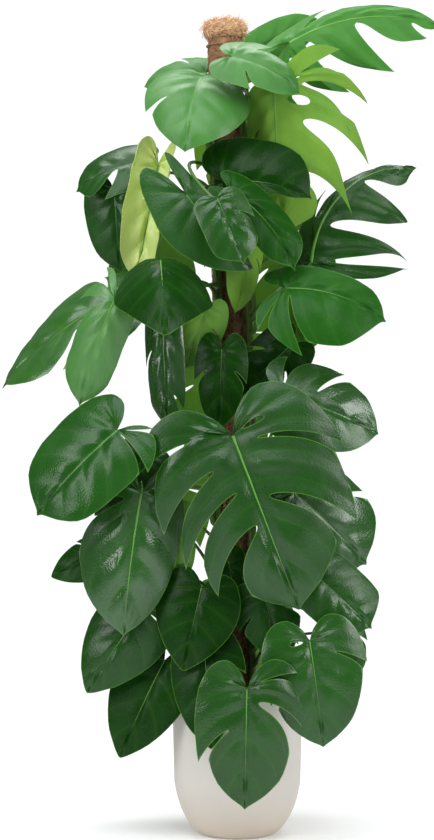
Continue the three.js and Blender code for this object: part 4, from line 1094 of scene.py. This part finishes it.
def twine(name, node, path, length, materials):
    """Two strands wound round each other: path + r (cos p out + sin p up), with one turn of p in
    each TWINE_LAY"""
    held = Gathered()
    count = len(path)
    along = unit(np.roll(path, -1, axis=0) - np.roll(path, 1, axis=0))
    out = np.cross(along, [0, 0, 1.0])
    turns = round(length / TWINE_LAY)
    for strand in (0, 1):
        turn = 2 * np.pi * turns * np.arange(count) / count + math.pi * strand
        line = path + STRAND_OFFSET * (np.cos(turn)[:, None] * out + np.sin(turn)[:, None] * [0, 0, 1.0])
        rope = tubes(line[None], np.full((1, count), STRAND_RADIUS), 6, (0, 0, 1), closed=True)
        held.add(rope, tone=0.35 + 0.3 * strand)
    return held.piece(name, node, "twine", materials, ("tone",))


def pot_wall(inset, steps=40):
    """Outside of the pot from the base's edge to the rim, drawn in by inset"""
    shoulder = POT_RADIUS - POT_TAPER - inset
    foot = POT_FOOT_RADIUS - inset * 0.6
    return cubic([(foot, inset), (foot + 16, inset), (shoulder - 9, 36 + inset),
                  (shoulder, POT_ROUND + inset)], steps)


def throw_pot(materials):
    """The pot's outside, its rounded rim and its inside, turned as one profile"""
    held = Gathered()
    outer, inner = pot_wall(0), pot_wall(POT_WALL)[::-1]
    turn = np.linspace(0, np.pi, 12)
    rim = np.column_stack([POT_RADIUS - POT_WALL / 2 + POT_WALL / 2 * np.cos(turn),
                           POT_HEIGHT - RIM_ROUND + RIM_ROUND * np.sin(turn)])
    rise = np.linspace(0, 1, 8)[1:-1, None]
    straight = outer[-1] + (rim[0] - outer[-1]) * rise
    down = rim[-1] + (inner[0] - rim[-1]) * rise
    profile = np.vstack([[(0, 0), (POT_FOOT_RADIUS - 8, 0)], outer, straight, rim, down, inner,
                         [(0, POT_WALL)]])
    held.add(turned(profile, 144))
    return held.piece("pot_thrown", "pot", "pot", materials, sharp=60)


def ball():
    """Corners and triangles of a solid with 20 equal sides"""
    corners = np.array([(x, y, 0) for x in (-1, 1) for y in (-1.618, 1.618)], float)
    points = np.vstack([corners[:, [0, 1, 2]], corners[:, [2, 0, 1]], corners[:, [1, 2, 0]]])
    near = np.abs(np.linalg.norm(points[:, None] - points[None], axis=-1) - 2) < 0.1
    faces = np.array([(a, b, c) for a in range(12) for b in range(a) for c in range(b)
                      if near[a, b] and near[b, c] and near[a, c]])
    a, b, c = (points[faces[:, k]] for k in range(3))
    inward = (np.cross(b - a, c - a) * a).sum(1) <= 0
    faces[inward] = faces[inward][:, ::-1]
    return points, faces


def fill_soil(materials, crumbs):
    """Crumbly top: a disc raised by noise, over the filled pot, with loose crumbs on it"""
    held = Gathered()
    draw = np.random.default_rng(13)
    edge = POT_RADIUS - POT_WALL - 1.2
    radius = np.linspace(edge, 0, 60)
    top = np.column_stack([radius, np.full(60, SOIL_TOP - 1.0)])
    profile = np.vstack([[(0, POT_WALL + 0.6)], pot_wall(POT_WALL + 0.6), top])

    def crumbly(points):
        within = ease((edge - np.hypot(points[..., 0], points[..., 1])) / 3 + 0.4)
        share = (points[..., 2] > SOIL_TOP - 20) * within
        raised = share * (2.6 * noise(points, 16, 1) + 1.9 * noise(points, 5, 2, 2))
        return points + raised[..., None] * [0, 0, 1.0]

    held.add(turned(profile, 150, crumbly))
    corners, sides = ball()
    place = np.sqrt(draw.uniform(0.1, 1, crumbs)) * (edge - 5)
    turn = draw.uniform(0, 2 * np.pi, crumbs)
    size = draw.uniform(0.7, 2.6, (crumbs, 1, 3)) * draw.uniform(0.6, 1.2, (crumbs, 1, 1))
    shape = corners[None] / 1.9 * size * (1 + draw.normal(0, 0.14, (crumbs, 12, 1)))
    points = (shape + polar(place, turn, SOIL_TOP + 0.6)[:, None]).reshape(-1, 3)
    faces = (sides[None] + (np.arange(crumbs) * 12)[:, None, None]).reshape(-1, 3)
    held.add((points, faces))
    return held.piece("soil_crumbs", "soil", "soil", materials, sharp=70)


# What a user would change

def tint(name, description, default):
    """A colour that the user can change"""
    return bpy.props.FloatVectorProperty(name=name, description=description, default=default,
                                         size=3, min=0, max=1, subtype="COLOR")


def tally(name, description, default):
    """A count that the user can change"""
    return bpy.props.IntProperty(name=name, description=description, default=default, min=0)


class PlantColours(bpy.types.PropertyGroup):
    """Colours of the plant, its pole and its pot"""
    light_deep: tint("Light leaf, deep", "Deeper green of the upper leaves", (0.016, 0.115, 0.010))
    light_pale: tint("Light leaf, pale", "Paler green of the upper leaves", (0.070, 0.250, 0.040))
    # lit is a painted glow of light shining through the blade, for tones above 1
    light_lit: tint("Light leaf, lit", "Upper leaves with the light behind them", (0.220, 0.400, 0.040))
    dark_deep: tint("Dark leaf, deep", "Deeper green of the lower leaves", (0.004, 0.034, 0.002))
    dark_pale: tint("Dark leaf, pale", "Paler green of the lower leaves", (0.014, 0.095, 0.007))
    # lit is a painted glow of light shining through the blade, for tones above 1
    dark_lit: tint("Dark leaf, lit", "Lower leaves with the light behind them", (0.060, 0.230, 0.012))
    under_deep: tint("Underside, deep", "Deeper green of the undersides", (0.035, 0.130, 0.006))
    under_pale: tint("Underside, pale", "Paler green of the undersides", (0.130, 0.330, 0.020))
    young_deep: tint("New leaf, deep", "Deeper lime of the new leaf", (0.420, 0.560, 0.100))
    young_pale: tint("New leaf, pale", "Paler lime of the new leaf", (0.740, 0.850, 0.340))
    rib: tint("Midrib", "Midribs, veins and margins", (0.115, 0.310, 0.038))
    stalk: tint("Petiole", "Green of petioles and stems", (0.075, 0.190, 0.025))
    bark: tint("Bark", "Brown of old petioles, roots and scars", (0.070, 0.042, 0.018))
    coir_dark: tint("Coir, dark", "Shaded fibre", (0.075, 0.030, 0.014))
    coir_light: tint("Coir, light", "Bright fibre", (0.440, 0.230, 0.115))
    # The top roll's fibre is paler than the sleeve's
    coir_pale: tint("Coir, pale", "Dry fibre on the top roll", (0.940, 0.650, 0.380))
    twine_dark: tint("Twine, dark", "Darker twine", (0.150, 0.100, 0.045))
    twine_light: tint("Twine, light", "Paler twine", (0.380, 0.280, 0.150))
    soil_dark: tint("Soil, dark", "Damp soil", (0.010, 0.006, 0.004))
    soil_light: tint("Soil, light", "Dry soil", (0.060, 0.038, 0.022))
    wood: tint("Stake", "Bare wood of the stake", (0.300, 0.190, 0.100))
    pot: tint("Pot", "Matt glaze", (0.660, 0.620, 0.572))
    floor: tint("Floor", "Studio floor", (0.900, 0.900, 0.900))


class PlantSizes(bpy.types.PropertyGroup):
    """Sizes and counts of the fine detail"""
    thickness: bpy.props.FloatProperty(name="Blade thickness", description="Thickness of a leaf blade",
                                       default=0.0011, min=0.0006, unit="LENGTH")
    fibres: tally("Pole fibres", "Loose fibres on the pole", 2600)
    roll_fibres: tally("Roll fibres", "Fibres on the top roll", 2400)
    crumbs: tally("Crumbs", "Loose crumbs on the soil", 420)


# Steps

class PLANT_OT_pot(bpy.types.Operator):
    """Throw the pot with its rounded foot and rim"""
    bl_idname = "plant.pot"
    bl_label = "Pot"

    def execute(self, context):
        throw_pot([pot_finish("pot_matt_glaze", context.scene.plant_colours.pot)])
        return {"FINISHED"}


class PLANT_OT_soil(bpy.types.Operator):
    """Fill the pot with crumbly soil"""
    bl_idname = "plant.soil"
    bl_label = "Soil"

    def execute(self, context):
        colours, sizes = context.scene.plant_colours, context.scene.plant_sizes
        fill_soil([soil_finish("soil_crumb", colours.soil_dark, colours.soil_light)], sizes.crumbs)
        return {"FINISHED"}


class PLANT_OT_pole(bpy.types.Operator):
    """Wrap the pole with coir, give it its top roll and finish its stake"""
    bl_idname = "plant.pole"
    bl_label = "Coir pole"

    def execute(self, context):
        colours, sizes = context.scene.plant_colours, context.scene.plant_sizes
        coir = fibre_finish("coir_fibre", colours.coir_dark, colours.coir_light)
        # The top roll is laid in paler fibre than the sleeve
        pale_roll = fibre_finish("coir_top_pale_fibre", colours.coir_light, colours.coir_pale)
        wrap_coir([coir], sizes.fibres)
        roll_coir([pale_roll], sizes.roll_fibres)
        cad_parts["pole_stake"].material_slots[0].material = wood_finish("stake_wood", colours.wood)
        return {"FINISHED"}


class PLANT_OT_ties(bpy.types.Operator):
    """Tie the stems to the pole with twine, and bind the top roll"""
    bl_idname = "plant.ties"
    bl_label = "Twine ties"

    def execute(self, context):
        colours = context.scene.plant_colours
        looks = [fibre_finish("twine_jute", colours.twine_dark, colours.twine_light)]
        for place, height in TIE_HEIGHTS.items():
            rounds = [(pole_axis(height), COIR_RADIUS)]
            rounds += [(stem_point(stem, np.float64(height)), stem_radius(stem, height))
                       for stem in STEMS.values() if stem["top"] > height]
            path, length = loop_round(rounds, height, TWINE_STAND)
            twine(f"tie_{place}_twine", f"tie_{place}", path, length, looks)
        centre = pole_axis(COIR_TOP - BINDING_DROP)
        path, length = loop_round([(centre, COIR_RADIUS)], centre[2], BINDING_STAND)
        twine("top_binding_twine", "top_binding", path, length, looks)
        return {"FINISHED"}


class PLANT_OT_stems(bpy.types.Operator):
    """Grow the three climbing stems with their nodes and aerial roots"""
    bl_idname = "plant.stems"
    bl_label = "Stems"

    def execute(self, context):
        colours = context.scene.plant_colours
        looks = [stalk_finish("stem_bark", colours.stalk, colours.bark)]
        for side, stem in STEMS.items():
            grow_stem(side, stem, looks)
        return {"FINISHED"}


class PLANT_OT_leaves(bpy.types.Operator):
    """Grow every leaf with its cuts, veins, midrib and petiole"""
    bl_idname = "plant.leaves"
    bl_label = "Leaves"

    def execute(self, context):
        colours = context.scene.plant_colours
        rib, stalk, fresh = colours.rib, colours.stalk, colours.young_pale
        under = blade_finish("leaf_underside", colours.under_deep, colours.under_pale,
                             colours.light_lit, rib, 0.5, 0.3, 0.12)
        carriers = [stalk_finish("leaf_midrib", rib, stalk),
                    stalk_finish("leaf_petiole", stalk, colours.bark)]
        greens = colours.young_deep, fresh, fresh, fresh
        young = [blade_finish("leaf_young_face", *greens, 0.4, 0.5, 0.05),
                 blade_finish("leaf_young_back", *greens, 0.45, 0.4, 0.05)]
        looks = {("young", "satin"): young + carriers}
        for gloss, mirror in GLOSS.items():
            for kind, roughness, net in (("light", 0.45, 0.05), ("dark", 0.28, 0.04)):
                greens = [getattr(colours, f"{kind}_{depth}") for depth in ("deep", "pale", "lit")]
                face = blade_finish(f"leaf_{kind}_{gloss}", *greens, rib, roughness, mirror, net)
                looks[kind, gloss] = [face, under, *carriers]
        for index, leaf in enumerate(LEAVES):
            grow_leaf(leaf, index, looks, context.scene.plant_sizes.thickness / METRES)
        return {"FINISHED"}


# Studio. In metres: where the camera stands, how far out the floor fades, how strongly the world
# lights the plant and how white it looks. A light is its place, aim, size, power and colour
CAMERA_PLACE = (-0.039, -4.0, 0.791)
CAMERA_LENS = 89.3
FLOOR_RADIUS = 2.7
FLOOR_FADE = (1.1, 2.6)
AIR_LIGHT = 0.16
AIR_SEEN = 1.1
WHITE = (1, 1, 1)
LIGHTS = {
    "top_softbox": ((-0.4, -1.9, 3.5), (0, 0, 0.9), (3.6, 2.2), 92, (0.93, 0.97, 1.0)),
    "key_softbox": ((-2.7, -2.6, 1.9), (0, 0, 0.8), (1.6, 2.4), 57, WHITE),
    "fill_softbox": ((2.9, -2.0, 1.8), (0, 0, 0.7), (1.4, 2.2), 58, WHITE),
    "back_softbox": ((0.5, 1.2, 3.4), (0, 2.5, 0.4), (4.0, 1.2), 110, WHITE),
}


def floor_disc(colour):
    """A round pale floor that fades out, so that no edge shows from any side"""
    points, faces = turned([(FLOOR_RADIUS, 0.0), (0.0, 0.0)], 96)
    mesh = bpy.data.meshes.new("studio_floor")
    mesh.from_pydata(points.tolist(), [], faces.tolist())
    paper = Finish("studio_paper", Roughness=0.9, Emission_Color=(1, 1, 1, 1), Emission_Strength=0.14)
    paper.colour(paper.mix(paper.noise(paper.place(), 1.5), colour, shade(colour, 0.99)))
    away = paper.add("VectorMath", {"operation": "LENGTH"}, in0=paper.place()).outputs["Value"]
    paper.links.new(paper.ramp(away, *FLOOR_FADE, 1.0, 0.0), paper.shader.inputs["Alpha"])
    mesh.materials.append(paper.material)
    return mesh


def soft_light(name, place, aim, size, power, colour):
    """An area light that faces its aim"""
    lamp = bpy.data.lights.new(name, "AREA")
    lamp.shape = "RECTANGLE"
    lamp.size, lamp.size_y = size
    lamp.energy = power
    lamp.color = colour
    made = linked(name, lamp)
    made.location = place
    made.rotation_euler = (Vector(aim) - Vector(place)).to_track_quat("-Z", "Y").to_euler()


def studio_air():
    """A world that lights the plant by AIR_LIGHT and looks AIR_SEEN bright to the camera"""
    world = bpy.data.worlds.new("studio_air")
    world.use_nodes = True
    air, tree = world.node_tree.nodes["Background"], world.node_tree
    air.inputs["Color"].default_value = (0.95, 0.98, 1.0, 1)
    seen = tree.nodes.new("ShaderNodeLightPath")
    level = tree.nodes.new("ShaderNodeMapRange")
    level.inputs["To Min"].default_value = AIR_LIGHT
    level.inputs["To Max"].default_value = AIR_SEEN
    tree.links.new(seen.outputs["Is Camera Ray"], level.inputs["Value"])
    tree.links.new(level.outputs["Result"], air.inputs["Strength"])
    return world


class PLANT_OT_stage(bpy.types.Operator):
    """Set the floor, soft lights and the camera"""
    bl_idname = "plant.stage"
    bl_label = "Stage"

    def execute(self, context):
        scene = context.scene
        floor = linked("studio_floor", floor_disc(scene.plant_colours.floor))
        for name, light in LIGHTS.items():
            soft_light(name, *light)
        scene.world = studio_air()
        scene.view_settings.view_transform = "Standard"
        lens = bpy.data.cameras.new("camera")
        lens.sensor_width = 36
        lens.lens = CAMERA_LENS
        lens.clip_end = 50
        camera = linked("camera", lens)
        camera.location = CAMERA_PLACE
        camera.rotation_euler = (math.pi / 2, 0, 0)
        scene.camera = camera
        return {"FINISHED"}


class PLANT_PT_sidebar(bpy.types.Panel):
    """Lists the plant's pieces"""
    bl_idname = "PLANT_PT_sidebar"
    bl_label = "Plant"
    bl_space_type = "VIEW_3D"
    bl_region_type = "UI"
    bl_category = "Plant"

    def draw(self, context):
        for step in STEPS:
            self.layout.operator(step.bl_idname)
        for group in (context.scene.plant_sizes, context.scene.plant_colours):
            for name in group.__annotations__:
                self.layout.prop(group, name)


STEPS = (PLANT_OT_pot, PLANT_OT_soil, PLANT_OT_pole, PLANT_OT_ties, PLANT_OT_stems, PLANT_OT_leaves,
         PLANT_OT_stage)
CLASSES = (PlantColours, PlantSizes, *STEPS, PLANT_PT_sidebar)


def register():
    for item in CLASSES:
        bpy.utils.register_class(item)
    bpy.types.Scene.plant_colours = bpy.props.PointerProperty(type=PlantColours)
    bpy.types.Scene.plant_sizes = bpy.props.PointerProperty(type=PlantSizes)


def unregister():
    del bpy.types.Scene.plant_sizes
    del bpy.types.Scene.plant_colours
    for item in reversed(CLASSES):
        bpy.utils.unregister_class(item)


def main():
    register()
    for step in STEPS:
        family, name = step.bl_idname.split(".")
        getattr(getattr(bpy.ops, family), name)()


if __name__ == "__main__":
    main()
